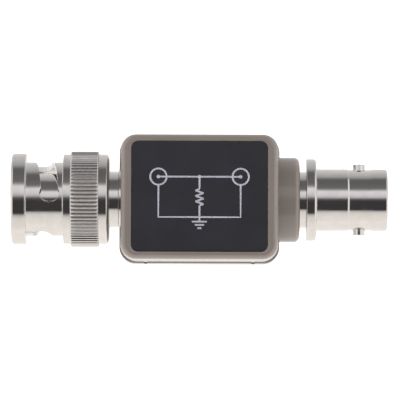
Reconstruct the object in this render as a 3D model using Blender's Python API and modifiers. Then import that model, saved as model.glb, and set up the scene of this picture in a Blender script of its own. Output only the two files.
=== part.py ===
"""A coaxial feed-through terminator: bayonet plug, two-shell plastic housing, bayonet jack.

The object lies on the back of its housing, with the label up (+Z), the plug towards -X and the
jack towards +X. The coaxial line runs along X, half way up the housing. Both connectors are
modelled outwards: their x is the distance from the middle of the housing, and the plug hangs
from an empty that is turned half round, so both share the same stations inside the housing.
"""

import math

import bmesh
import bpy

MM = 0.001

# Facets of a full turn
ROUND = 64
SMALL_ROUND = 32
CORNER_STEPS = 6
FILLET_STEPS = 5

# Clearances
SEAT_GAP = 0.1 * MM
BOARD_GAP = 0.08 * MM
PRESS_GAP = 0.05 * MM

# Housing, in two shells that meet on the plane of the coaxial line
REAR_LENGTH = 24.8 * MM
REAR_WIDTH = 19.8 * MM
RIM_STEP = 0.18 * MM
SHELL_CORNER = 2.5 * MM
SHELL_DEPTH = 7.7 * MM
DRAFT_INSET = 0.12 * MM
EDGE_WIDTH = 0.8 * MM
EDGE_DEPTH = 1.3 * MM
WALL = 1.5 * MM
INNER_CORNER = 1.0 * MM
TONGUE_THICKNESS = 0.6 * MM
TONGUE_HEIGHT = 0.6 * MM

# Label and its recess
LABEL_LENGTH = 20.8 * MM
LABEL_WIDTH = 16.85 * MM
LABEL_CORNER = 1.0 * MM
LABEL_THICKNESS = 0.25 * MM
RECESS_DEPTH = 0.35 * MM

# Collar that grips the jack's neck
COLLAR_RADIUS = 6.55 * MM
COLLAR_LENGTH = 3.05 * MM
COLLAR_EDGE = 0.8 * MM

# Snap hooks of the rear shell and the pry slots beside them
HOOK_REACH = 8.3 * MM
HOOK_WIDTH = 2.0 * MM
HOOK_THICKNESS = 0.7 * MM
HOOK_ROOT = 1.55 * MM
HOOK_HEIGHT = 2.5 * MM
BARB = 0.45 * MM
PRY_SLOT_WIDTH = 0.6 * MM
PRY_SLOT_RISE = 1.0 * MM
PRY_SLOT_DROP = 0.35 * MM

# Hardware that both connectors carry inside the housing
SHOULDER_RADIUS = 5.0 * MM
SHOULDER_THICKNESS = 1.0 * MM
THREAD_RADIUS = 4.0 * MM
TAG_THICKNESS = 0.35 * MM
TAG_RADIUS = 5.2 * MM
TAG_ARM_HEIGHT = 1.4 * MM
TAG_ARM_OVERLAP = 1.5 * MM
HEX_FLATS = 10.0 * MM
HEX_THICKNESS = 1.7 * MM
HEX_CHAMFER = 0.35 * MM
SADDLE_THICKNESS = 1.0 * MM
SADDLE_WIDTH = 11.4 * MM
LOCK_PAD_WIDTH = 4.8 * MM
TAIL_RADIUS = 0.5 * MM
TAIL_OVERLAP = 1.8 * MM
INSULATOR_TAIL_RADIUS = 2.35 * MM
INSULATOR_TAIL_SHOW = 0.5 * MM

# Circuit board and its four chip resistors
BOARD_THICKNESS = 1.0 * MM
BOARD_SIDE_GAP = 0.6 * MM
BOARD_END_GAP = 0.3 * MM
LAND_THICKNESS = 0.07 * MM
STRIP_WIDTH = 1.6 * MM
LAND_MARGIN = 0.4 * MM
RESISTOR_LENGTH = 3.2 * MM
RESISTOR_WIDTH = 1.6 * MM
RESISTOR_HEIGHT = 0.6 * MM
RESISTOR_CAP = 0.5 * MM
RESISTOR_CAP_RISE = 0.03 * MM
RESISTOR_SPACING = 3.4 * MM
RESISTOR_LAP = 0.4 * MM
RAIL_THICKNESS = 0.8 * MM
RAIL_LENGTH = 10.0 * MM
RAIL_EDGE_INSET = 0.8 * MM
POST_RADIUS = 0.8 * MM

# Jack
NECK_RADIUS = 4.35 * MM
NECK_SHOW = 1.05 * MM
JACK_FLANGE_RADIUS = 6.36 * MM
JACK_FLANGE_THICKNESS = 1.55 * MM
JACK_FLANGE_EDGE = 0.4 * MM
BARREL_RADIUS = 4.8 * MM
BARREL_LENGTH = 11.0 * MM
BARREL_CHAMFER = 0.22 * MM
RELIEF_DEPTH = 0.1 * MM
RELIEF_LENGTH = 4.2 * MM
RELIEF_REAR_SLOPE = 0.25 * MM
RELIEF_FRONT_SLOPE = 0.9 * MM
MOUTH_RADIUS = 4.07 * MM
MOUTH_DEPTH = 8.45 * MM
LUG_SETBACK = 4.35 * MM
LUG_RADIUS = 0.95 * MM
LUG_REACH = 5.5 * MM
LUG_CHAMFER = 0.12 * MM
JACK_BORE_RADIUS = 3.3 * MM
NOSE_RADIUS = 2.36 * MM
NOSE_LENGTH = 5.3 * MM
SOCKET_RADIUS = 1.05 * MM
SOCKET_RECESS = 0.3 * MM
SOCKET_BORE_DEPTH = 4.5 * MM
SOCKET_SLOT_WIDTH = 0.25 * MM
SOCKET_SLOT_LENGTH = 3.0 * MM

# Plug body, insulator and pin
STEM_RADIUS = 4.33 * MM
STEM_SHOW = 1.4 * MM
OUTER_SHOULDER_RADIUS = 4.65 * MM
OUTER_SHOULDER_THICKNESS = 0.6 * MM
OUTER_SHOULDER_PROUD = 0.1 * MM
PLUG_FLANGE_RADIUS = 5.7 * MM
PLUG_FLANGE_THICKNESS = 1.0 * MM
SLEEVE_RADIUS = 3.98 * MM
SLEEVE_BULGE = 0.1 * MM
SLEEVE_TIP_SETBACK = 1.75 * MM
SLEEVE_WALL = 0.55 * MM
SLEEVE_SLOT_WIDTH = 0.5 * MM
SLEEVE_SLOT_LENGTH = 5.0 * MM
SLEEVE_SLOT_ANGLE = math.radians(-11)
PLUG_DIELECTRIC_SETBACK = 5.6 * MM
PIN_RADIUS = 0.68 * MM
PIN_TIP_SETBACK = 0.25 * MM
PIN_TAPER = 0.6 * MM
PIN_BODY_RADIUS = 1.0 * MM
GASKET_THICKNESS = 1.0 * MM

# Coupling nut of the plug
NUT_LENGTH = 15.15 * MM
NUT_BORE_RADIUS = 4.9 * MM
NUT_MOUTH_CHAMFER = 0.4 * MM
RING_RADIUS = 7.07 * MM
RING_LENGTH = 2.25 * MM
RING_CHAMFER = 0.3 * MM
NECKED_RADIUS = 5.72 * MM
NECKED_LENGTH = 5.75 * MM
NUT_FILLET = 0.2 * MM
LAND_RADIUS = 6.97 * MM
KNURL_SETBACK = 9.15 * MM
KNURL_LENGTH = 4.35 * MM
KNURL_TIP_RADIUS = 7.4 * MM
KNURL_ROOT_RADIUS = 7.1 * MM
KNURL_TEETH = 76
CREST_DROP = 0.06 * MM
KNURL_CHAMFER = 0.18 * MM
REAR_ROUND = 0.85 * MM
REAR_CONE = 0.1 * MM
REAR_LIP_THICKNESS = 0.75 * MM
REAR_HOLE_RADIUS = 4.6 * MM
WASHER_BORE_RADIUS = 5.9 * MM

# Bayonet slots of the coupling nut, as distances behind its mouth and turns about its axis
SLOT_WIDTH = 2.75 * MM
SLOT_TURN = math.radians(90)
SLOT_ENTRY_SETBACK = 3.3 * MM
SLOT_END_SETBACK = 6.1 * MM
SLOT_CURVE = 2.1
SLOT_STEPS = 16
GROOVE_RADIUS = 5.62 * MM
DETENT_RADIUS = 1.52 * MM
DETENT_SETBACK = 6.07 * MM
DETENT_LEAD = math.radians(4)
DETENT_ANGLE = math.radians(9.1)

# Spring pack between the nut's rear lip and the plug's flange
THRUST_THICKNESS = 0.5 * MM
THRUST_RUNNING_GAP = 0.2 * MM
WAVE_THICKNESS = 0.25 * MM
WAVE_HEIGHT = 1.2 * MM
WAVES = 3

# Stations along the line, measured outwards from the middle of the housing
WALL_OUTSIDE = REAR_LENGTH / 2
WALL_INSIDE = WALL_OUTSIDE - WALL
SHOULDER_OUTSIDE = WALL_INSIDE - SEAT_GAP
SHOULDER_INSIDE = SHOULDER_OUTSIDE - SHOULDER_THICKNESS
TAG_OUTSIDE = SHOULDER_INSIDE - SEAT_GAP
TAG_INSIDE = TAG_OUTSIDE - TAG_THICKNESS
HEX_OUTSIDE = TAG_INSIDE - SEAT_GAP
HEX_INSIDE = HEX_OUTSIDE - HEX_THICKNESS
SADDLE_OUTSIDE = HEX_INSIDE - SEAT_GAP
SADDLE_INSIDE = SADDLE_OUTSIDE - SADDLE_THICKNESS
BOARD_END = SADDLE_INSIDE - BOARD_END_GAP
TAIL_END = BOARD_END - TAIL_OVERLAP
BORE_STEP = WALL_OUTSIDE + 0.6 * MM

COLLAR_END = WALL_OUTSIDE + COLLAR_LENGTH
JACK_FLANGE_START = COLLAR_END + NECK_SHOW
JACK_FLANGE_END = JACK_FLANGE_START + JACK_FLANGE_THICKNESS
JACK_END = JACK_FLANGE_END + BARREL_LENGTH
MOUTH_FLOOR = JACK_END - MOUTH_DEPTH

SHOULDER_FACE = WALL_OUTSIDE + OUTER_SHOULDER_PROUD
NUT_REAR = SHOULDER_FACE + STEM_SHOW
NUT_MOUTH = NUT_REAR + NUT_LENGTH
LIP_INSIDE = NUT_REAR + REAR_LIP_THICKNESS
THRUST_START = LIP_INSIDE + SEAT_GAP
THRUST_END = THRUST_START + THRUST_THICKNESS
WAVE_START = THRUST_END + SEAT_GAP
WAVE_END = WAVE_START + WAVE_HEIGHT
PLUG_FLANGE_START = WAVE_END + SEAT_GAP
PLUG_FLANGE_END = PLUG_FLANGE_START + PLUG_FLANGE_THICKNESS
NUT_STEP = PLUG_FLANGE_END + SEAT_GAP
GASKET_START = PLUG_FLANGE_END + SEAT_GAP
GASKET_END = GASKET_START + GASKET_THICKNESS
SLEEVE_TIP = NUT_MOUTH - SLEEVE_TIP_SETBACK
PLUG_DIELECTRIC_END = SLEEVE_TIP - PLUG_DIELECTRIC_SETBACK
PIN_TIP = SLEEVE_TIP - PIN_TIP_SETBACK

# Half sizes of the shells at their meeting plane, and the inside that they share
REAR_HALF = (REAR_LENGTH / 2, REAR_WIDTH / 2)
FRONT_HALF = (REAR_HALF[0] - RIM_STEP, REAR_HALF[1] - RIM_STEP)
INNER_HALF = (REAR_HALF[0] - WALL, REAR_HALF[1] - WALL)
BOARD_WIDTH = 2 * (INNER_HALF[1] - BOARD_SIDE_GAP)
ROOF = SHELL_DEPTH - WALL
TONGUE_CORNER = INNER_CORNER + TONGUE_THICKNESS

# The board lies just under the contacts' tails
LAND_TOP = -TAIL_RADIUS - BOARD_GAP
BOARD_TOP = LAND_TOP - LAND_THICKNESS
BOARD_BOTTOM = BOARD_TOP - BOARD_THICKNESS
UNDER_LAND = BOARD_BOTTOM - LAND_THICKNESS
RESISTOR_START = STRIP_WIDTH / 2 - RESISTOR_LAP
GROUND_START = RESISTOR_START + RESISTOR_LENGTH - RESISTOR_LAP
TAG_ARM_Y = HEX_FLATS / math.sqrt(3) + 0.35 * MM

TAUPE = (0.235, 0.205, 0.185)
INK_BLUE = (0.022, 0.022, 0.032)
NICKEL = (0.72, 0.70, 0.67)
GOLD = (0.85, 0.62, 0.25)
PTFE = (0.82, 0.81, 0.78)
SPRING_STEEL = (0.45, 0.45, 0.45)
SILICONE = (0.36, 0.08, 0.05)
BOARD_GREEN = (0.03, 0.16, 0.07)
CHIP_BLACK = (0.03, 0.03, 0.035)


def clear_scene():
    for obj in list(bpy.data.objects):
        bpy.data.objects.remove(obj, do_unlink=True)


def new_collection(name, hidden=False):
    made = bpy.data.collections.new(name)
    bpy.context.scene.collection.children.link(made)
    made.hide_render = hidden
    return made


def new_material(name, colour, roughness, metallic=0.0):
    made = bpy.data.materials.new(name)
    made.use_nodes = True
    shader = made.node_tree.nodes["Principled BSDF"]
    shader.inputs["Base Color"].default_value = (*colour, 1)
    shader.inputs["Roughness"].default_value = roughness
    shader.inputs["Metallic"].default_value = metallic
    made.diffuse_color = (*colour, 1)
    return made


def new_axis(name, height, turn=0.0):
    """An empty on the coaxial line that carries one group of pieces."""
    axis = bpy.data.objects.new(name, None)
    bpy.data.collections["feed_through_terminator"].objects.link(axis)
    axis.location = (0, 0, height)
    axis.rotation_euler = (0, 0, turn)
    return axis


def place(name, mesh, axis, material=None):
    """A piece of the object, or a cutter where no material is given."""
    obj = bpy.data.objects.new(name, mesh)
    obj.parent = axis
    if material:
        bpy.data.collections["feed_through_terminator"].objects.link(obj)
        mesh.materials.append(material)
    else:
        bpy.data.collections["cutters"].objects.link(obj)
        obj.hide_render = True
        obj.display_type = "WIRE"
    return obj


def mesh_from(name, bm):
    bmesh.ops.recalc_face_normals(bm, faces=bm.faces)
    mesh = bpy.data.meshes.new(name)
    bm.to_mesh(mesh)
    bm.free()
    return mesh


def boxed(name, low, high, axis, material=None):
    """A box between two corners."""
    bm = bmesh.new()
    bmesh.ops.create_cube(bm, size=1)
    for vert in bm.verts:
        for i in range(3):
            vert.co[i] = low[i] if vert.co[i] < 0 else high[i]
    return place(name, mesh_from(name, bm), axis, material)


def lofted(name, rings, axis, material=None):
    """A skin through rings of equally many points, with both ends closed."""
    bm = bmesh.new()
    loops = [[bm.verts.new(point) for point in ring] for ring in rings]
    count = len(loops[0])
    for first, second in zip(loops, loops[1:]):
        for i in range(count):
            j = (i + 1) % count
            bm.faces.new((first[i], first[j], second[j], second[i]))
    bm.faces.new(reversed(loops[0]))
    bm.faces.new(loops[-1])
    return place(name, mesh_from(name, bm), axis, material)


def turned(name, profile, axis, material=None, steps=ROUND):
    """A profile of (x, radius) points screwed a full turn about x.

    A profile that starts and ends on the axis stays open, and any other is a closed loop.
    """
    closed = profile[0][1] > 0
    area = sum(
        a[0] * b[1] - b[0] * a[1] for a, b in zip(profile, profile[1:] + profile[:1])
    )
    points = profile if area > 0 else profile[::-1]
    edges = [(i, i + 1) for i in range(len(points) - 1)]
    if closed:
        edges.append((len(points) - 1, 0))
    mesh = bpy.data.meshes.new(name)
    mesh.from_pydata([(x, 0, radius) for x, radius in points], edges, [])
    obj = place(name, mesh, axis, material)
    screw = obj.modifiers.new("turn", "SCREW")
    screw.axis = "X"
    screw.steps = steps
    screw.render_steps = steps
    screw.use_merge_vertices = True
    screw.merge_threshold = 0.000001
    screw.use_smooth_shade = True
    return obj


def joined(obj, *others):
    for other in others:
        union = obj.modifiers.new("join " + other.name, "BOOLEAN")
        union.operation = "UNION"
        union.object = other
    return obj


def cut(obj, *cutters):
    for cutter in cutters:
        difference = obj.modifiers.new("cut " + cutter.name, "BOOLEAN")
        difference.operation = "DIFFERENCE"
        difference.object = cutter
    return obj


def quarter_round(centre, size, start, steps=FILLET_STEPS):
    """Points of a quarter turn about a centre, from the angle start, anticlockwise."""
    turns = [math.radians(start + 90 * i / steps) for i in range(steps + 1)]
    return [
        (centre[0] + size * math.cos(t), centre[1] + size * math.sin(t)) for t in turns
    ]


def rounded_ring(half, corner, z):
    """A rectangle of half sizes with rounded corners, at a height."""
    ring = []
    for sx, sy, start in ((1, 1, 0), (-1, 1, 90), (-1, -1, 180), (1, -1, 270)):
        centre = (sx * (half[0] - corner), sy * (half[1] - corner))
        for x, y in quarter_round(centre, corner, start, CORNER_STEPS):
            ring.append((x, y, z))
    return ring


def shrunk_ring(half, corner, inset, z):
    return rounded_ring((half[0] - inset, half[1] - inset), corner - inset, z)


def shell_side(half, side):
    """Rings of a shell's outside from its rim to its face, on the +Z or -Z side."""
    wall_top = SHELL_DEPTH - EDGE_DEPTH
    rings = [shrunk_ring(half, SHELL_CORNER, 0, side * SEAT_GAP / 2)]
    for i in range(FILLET_STEPS + 1):
        turn = math.radians(90 * i / FILLET_STEPS)
        inset = DRAFT_INSET + EDGE_WIDTH * (1 - math.cos(turn))
        z = wall_top + EDGE_DEPTH * math.sin(turn)
        rings.append(shrunk_ring(half, SHELL_CORNER, inset, side * z))
    return rings


def grown(half, by):
    return (half[0] + by, half[1] + by)


def front_shell_cup(axis, material):
    recess = (LABEL_LENGTH / 2 + SEAT_GAP, LABEL_WIDTH / 2 + SEAT_GAP)
    recess_corner = LABEL_CORNER + SEAT_GAP
    rebate = grown(INNER_HALF, TONGUE_THICKNESS + SEAT_GAP)
    rebate_corner = TONGUE_CORNER + SEAT_GAP
    rebate_top = TONGUE_HEIGHT + SEAT_GAP
    rings = [
        rounded_ring(recess, recess_corner, SHELL_DEPTH - RECESS_DEPTH),
        rounded_ring(recess, recess_corner, SHELL_DEPTH),
        *reversed(shell_side(FRONT_HALF, 1)),
        rounded_ring(rebate, rebate_corner, SEAT_GAP / 2),
        rounded_ring(rebate, rebate_corner, rebate_top),
        rounded_ring(INNER_HALF, INNER_CORNER, rebate_top),
        rounded_ring(INNER_HALF, INNER_CORNER, ROOF),
    ]
    return lofted("front_shell", rings, axis, material)


def rear_shell_cup(axis, material):
    tongue = grown(INNER_HALF, TONGUE_THICKNESS)
    rings = [
        *reversed(shell_side(REAR_HALF, -1)),
        rounded_ring(tongue, TONGUE_CORNER, -SEAT_GAP / 2),
        rounded_ring(tongue, TONGUE_CORNER, TONGUE_HEIGHT),
        rounded_ring(INNER_HALF, INNER_CORNER, TONGUE_HEIGHT),
        rounded_ring(INNER_HALF, INNER_CORNER, -ROOF),
    ]
    return lofted("rear_shell", rings, axis, material)


def collar(side, name, axis):
    """Half of the round collar, on one side of the meeting plane."""
    edge = quarter_round((COLLAR_END - COLLAR_EDGE, COLLAR_RADIUS - COLLAR_EDGE), COLLAR_EDGE, 0)
    start = WALL_OUTSIDE - WALL / 2
    profile = [(start, 0), (start, COLLAR_RADIUS), *reversed(edge), (COLLAR_END, 0)]
    whole = turned(name, profile, axis)
    reach = COLLAR_RADIUS + WALL
    limits = sorted((side * SEAT_GAP / 2, -side * reach))
    other_half = boxed(
        name + "_other_half",
        (start - WALL, -reach, limits[0]),
        (COLLAR_END + WALL, reach, limits[1]),
        axis,
    )
    return cut(whole, other_half)


def line_bores(name, axis):
    """Cutters for the jack's neck, the plug's stem and its outer shoulder."""
    jack = turned(
        name + "_neck_bore",
        [
            (WALL_INSIDE - WALL, 0),
            (WALL_INSIDE - WALL, NECK_RADIUS + SEAT_GAP),
            (COLLAR_END + WALL, NECK_RADIUS + SEAT_GAP),
            (COLLAR_END + WALL, 0),
        ],
        axis,
    )
    step = SHOULDER_FACE - OUTER_SHOULDER_THICKNESS - SEAT_GAP
    plug = turned(
        name + "_stem_bore",
        [
            (-WALL_INSIDE + WALL, 0),
            (-WALL_INSIDE + WALL, STEM_RADIUS + SEAT_GAP),
            (-step, STEM_RADIUS + SEAT_GAP),
            (-step, OUTER_SHOULDER_RADIUS + SEAT_GAP),
            (-WALL_OUTSIDE - WALL, OUTER_SHOULDER_RADIUS + SEAT_GAP),
            (-WALL_OUTSIDE - WALL, 0),
        ],
        axis,
    )
    return jack, plug


def line_supports(side, name, axis):
    """Saddles that stop the hex nuts and pads that hold their flats, for one shell."""
    into_roof = ROOF + WALL / 4
    made = []
    for end, word in ((1, "jack"), (-1, "plug")):
        xs = sorted((end * SADDLE_INSIDE, end * SADDLE_OUTSIDE))
        zs = sorted((side * SEAT_GAP / 2, side * into_roof))
        saddle = boxed(
            f"{name}_{word}_saddle",
            (xs[0], -SADDLE_WIDTH / 2, zs[0]),
            (xs[1], SADDLE_WIDTH / 2, zs[1]),
            axis,
        )
        notch_radius = INSULATOR_TAIL_RADIUS + 4 * SEAT_GAP
        notch = turned(
            f"{name}_{word}_notch",
            [
                (xs[0] - WALL / 4, 0),
                (xs[0] - WALL / 4, notch_radius),
                (xs[1] + WALL / 4, notch_radius),
                (xs[1] + WALL / 4, 0),
            ],
            axis,
            steps=SMALL_ROUND,
        )
        cut(saddle, notch)
        pad_xs = sorted((end * (SADDLE_INSIDE + SADDLE_THICKNESS / 2), end * HEX_OUTSIDE))
        pad_zs = sorted((side * (HEX_FLATS / 2 + SEAT_GAP), side * into_roof))
        pad = boxed(
            f"{name}_{word}_lock_pad",
            (pad_xs[0], -LOCK_PAD_WIDTH / 2, pad_zs[0]),
            (pad_xs[1], LOCK_PAD_WIDTH / 2, pad_zs[1]),
            axis,
        )
        made += [saddle, pad]
    return made


def hook_places():
    return [(sx, sy) for sx in (-1, 1) for sy in (-1, 1)]


def snap_hooks(axis):
    """Four springy hooks that rise from the rear shell's long walls."""
    face = INNER_HALF[1] - 2 * SEAT_GAP
    back = face - HOOK_THICKNESS
    under_barb = HOOK_HEIGHT - 2 * BARB
    outline = [
        (back, -HOOK_ROOT),
        (INNER_HALF[1] + SEAT_GAP, -HOOK_ROOT),
        (INNER_HALF[1] + SEAT_GAP, TONGUE_HEIGHT / 2),
        (face, TONGUE_HEIGHT / 2 + 2 * SEAT_GAP),
        (face, under_barb),
        (face + BARB, under_barb + SEAT_GAP),
        (face, HOOK_HEIGHT),
        (back, HOOK_HEIGHT),
    ]
    made = []
    for index, (sx, sy) in enumerate(hook_places()):
        rings = [
            [(sx * HOOK_REACH + half, sy * y, z) for y, z in outline]
            for half in (-HOOK_WIDTH / 2, HOOK_WIDTH / 2)
        ]
        made.append(lofted(f"snap_hook_{index}", rings, axis))
    return made


def hook_pockets(axis):
    """Pockets inside the front shell's wall that the hooks' barbs catch in."""
    face = INNER_HALF[1] - 2 * SEAT_GAP
    half = HOOK_WIDTH / 2 + SEAT_GAP
    made = []
    for index, (sx, sy) in enumerate(hook_places()):
        ys = sorted((sy * (INNER_HALF[1] - WALL / 2), sy * (face + BARB + SEAT_GAP)))
        made.append(
            boxed(
                f"hook_pocket_{index}",
                (sx * HOOK_REACH - half, ys[0], HOOK_HEIGHT - 2 * BARB - SEAT_GAP),
                (sx * HOOK_REACH + half, ys[1], HOOK_HEIGHT + SEAT_GAP),
                axis,
            )
        )
    return made


def pry_slots(name, axis):
    """Small slots across the seam, one beside each hook."""
    inner = INNER_HALF[1] + TONGUE_THICKNESS + 2 * SEAT_GAP
    made = []
    for index, (sx, sy) in enumerate(hook_places()):
        ys = sorted((sy * inner, sy * (REAR_HALF[1] + WALL)))
        made.append(
            boxed(
                f"{name}_pry_slot_{index}",
                (sx * HOOK_REACH - PRY_SLOT_WIDTH / 2, ys[0], -PRY_SLOT_DROP),
                (sx * HOOK_REACH + PRY_SLOT_WIDTH / 2, ys[1], PRY_SLOT_RISE),
                axis,
            )
        )
    return made


def board_posts(axis):
    """Two posts of the front shell that hold the board down."""
    made = []
    for sy in (-1, 1):
        low = LAND_TOP + SEAT_GAP
        high = ROOF + WALL / 4
        bm = bmesh.new()
        bmesh.ops.create_cone(
            bm,
            cap_ends=True,
            segments=SMALL_ROUND // 2,
            radius1=POST_RADIUS,
            radius2=POST_RADIUS,
            depth=high - low,
        )
        y = sy * (BOARD_WIDTH / 2 - RAIL_EDGE_INSET)
        bmesh.ops.translate(bm, verts=bm.verts, vec=(0, y, (low + high) / 2))
        made.append(place(f"board_post_{sy + 1}", mesh_from("board_post", bm), axis))
    return made


def board_rails(axis):
    """Two rails of the rear shell that carry the board."""
    made = []
    for sy in (-1, 1):
        y = sy * (BOARD_WIDTH / 2 - RAIL_EDGE_INSET)
        made.append(
            boxed(
                f"board_rail_{sy + 1}",
                (-RAIL_LENGTH / 2, y - RAIL_THICKNESS / 2, -ROOF - WALL / 4),
                (RAIL_LENGTH / 2, y + RAIL_THICKNESS / 2, UNDER_LAND - SEAT_GAP),
                axis,
            )
        )
    return made


def make_front_shell(axis, material):
    shell = front_shell_cup(axis, material)
    joined(shell, collar(1, "front_collar", axis), *line_supports(1, "front", axis), *board_posts(axis))
    cut(shell, *line_bores("front", axis), *hook_pockets(axis), *pry_slots("front", axis))


def make_rear_shell(axis, material):
    shell = rear_shell_cup(axis, material)
    joined(shell, collar(-1, "rear_collar", axis), *line_supports(-1, "rear", axis), *board_rails(axis))
    joined(shell, *snap_hooks(axis))
    cut(shell, *line_bores("rear", axis), *pry_slots("rear", axis))


def make_label(axis, material):
    half = (LABEL_LENGTH / 2, LABEL_WIDTH / 2)
    floor = SHELL_DEPTH - RECESS_DEPTH + PRESS_GAP
    rings = [
        rounded_ring(half, LABEL_CORNER, floor),
        rounded_ring(half, LABEL_CORNER, floor + LABEL_THICKNESS),
    ]
    lofted("front_label", rings, axis, material)


def make_jack_body(axis, material):
    edge = quarter_round(
        (JACK_FLANGE_END - JACK_FLANGE_EDGE, JACK_FLANGE_RADIUS - JACK_FLANGE_EDGE), JACK_FLANGE_EDGE, 0
    )
    lug_x = JACK_END - LUG_SETBACK
    relief_start = lug_x - RELIEF_LENGTH / 2 + RELIEF_REAR_SLOPE
    relief_end = relief_start + RELIEF_LENGTH
    relief_radius = BARREL_RADIUS - RELIEF_DEPTH
    step_radius = INSULATOR_TAIL_RADIUS + SEAT_GAP
    profile = [
        (HEX_INSIDE, step_radius),
        (HEX_INSIDE, THREAD_RADIUS),
        (SHOULDER_INSIDE, THREAD_RADIUS),
        (SHOULDER_INSIDE, SHOULDER_RADIUS),
        (SHOULDER_OUTSIDE, SHOULDER_RADIUS),
        (SHOULDER_OUTSIDE, NECK_RADIUS),
        (JACK_FLANGE_START, NECK_RADIUS),
        (JACK_FLANGE_START, JACK_FLANGE_RADIUS),
        *reversed(edge),
        (JACK_FLANGE_END, BARREL_RADIUS),
        (relief_start, BARREL_RADIUS),
        (relief_start + RELIEF_REAR_SLOPE, relief_radius),
        (relief_end - RELIEF_FRONT_SLOPE, relief_radius),
        (relief_end, BARREL_RADIUS),
        (JACK_END - BARREL_CHAMFER, BARREL_RADIUS),
        (JACK_END, BARREL_RADIUS - BARREL_CHAMFER),
        (JACK_END, MOUTH_RADIUS + BARREL_CHAMFER),
        (JACK_END - BARREL_CHAMFER, MOUTH_RADIUS),
        (MOUTH_FLOOR, MOUTH_RADIUS),
        (MOUTH_FLOOR, JACK_BORE_RADIUS),
        (BORE_STEP, JACK_BORE_RADIUS),
        (BORE_STEP, step_radius),
    ]
    body = turned("jack_body", profile, axis, material)
    bm = bmesh.new()
    bmesh.ops.create_cone(
        bm,
        cap_ends=True,
        segments=SMALL_ROUND,
        radius1=LUG_RADIUS + PRESS_GAP,
        radius2=LUG_RADIUS + PRESS_GAP,
        depth=2 * (LUG_REACH + WALL),
    )
    lug_hole = place("lug_hole", mesh_from("lug_hole", bm), axis)
    lug_hole.location = (lug_x, 0, 0)
    lug_hole.rotation_euler = (math.radians(90), 0, 0)
    cut(body, lug_hole)


def make_lugs(axis, material):
    """The two pins that ride in a mating nut's slots, pressed into the barrel's wall."""
    inner = MOUTH_RADIUS + PRESS_GAP
    profile = [
        (inner, 0),
        (inner, LUG_RADIUS),
        (LUG_REACH - LUG_CHAMFER, LUG_RADIUS),
        (LUG_REACH, LUG_RADIUS - LUG_CHAMFER),
        (LUG_REACH, 0),
    ]
    for word, turn in (("upper", 90), ("lower", -90)):
        lug = turned(f"jack_lug_{word}", profile, axis, material, SMALL_ROUND)
        lug.location = (JACK_END - LUG_SETBACK, 0, 0)
        lug.rotation_euler = (0, 0, math.radians(turn))


def make_jack_insulator(axis, material):
    outer = JACK_BORE_RADIUS - SEAT_GAP
    tail = TAIL_RADIUS + PRESS_GAP
    seat = BORE_STEP + SEAT_GAP
    end = MOUTH_FLOOR + NOSE_LENGTH
    profile = [
        (HEX_INSIDE - INSULATOR_TAIL_SHOW, tail),
        (HEX_INSIDE - INSULATOR_TAIL_SHOW, INSULATOR_TAIL_RADIUS),
        (seat, INSULATOR_TAIL_RADIUS),
        (seat, outer),
        (MOUTH_FLOOR - SEAT_GAP, outer),
        (MOUTH_FLOOR - SEAT_GAP, NOSE_RADIUS),
        (end, NOSE_RADIUS),
        (end, SOCKET_RADIUS + PRESS_GAP),
        (seat, SOCKET_RADIUS + PRESS_GAP),
        (seat, tail),
    ]
    turned("jack_insulator", profile, axis, material, SMALL_ROUND)


def contact_slots(name, tip, length, width, radius, axis, angle=0.0):
    """Two crossed blades that cut a tube's end into four fingers."""
    start = tip - length
    end = tip + WALL
    upright = boxed(name + "_upright", (start, -width / 2, -2 * radius), (end, width / 2, 2 * radius), axis)
    level = boxed(name + "_level", (start, -2 * radius, -width / 2), (end, 2 * radius, width / 2), axis)
    upright.rotation_euler = (angle, 0, 0)
    level.rotation_euler = (angle, 0, 0)
    return upright, level


def make_jack_socket(axis, material):
    tip = MOUTH_FLOOR + NOSE_LENGTH - SOCKET_RECESS
    base = BORE_STEP + 2 * SEAT_GAP
    bore = PIN_RADIUS + PRESS_GAP
    profile = [
        (TAIL_END, 0),
        (TAIL_END, TAIL_RADIUS),
        (base, TAIL_RADIUS),
        (base, SOCKET_RADIUS),
        (tip, SOCKET_RADIUS),
        (tip, bore),
        (tip - SOCKET_BORE_DEPTH, bore),
        (tip - SOCKET_BORE_DEPTH, 0),
    ]
    socket = turned("jack_socket", profile, axis, material, SMALL_ROUND)
    slots = contact_slots("socket_slot", tip, SOCKET_SLOT_LENGTH, SOCKET_SLOT_WIDTH, SOCKET_RADIUS, axis)
    cut(socket, *slots)


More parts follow.
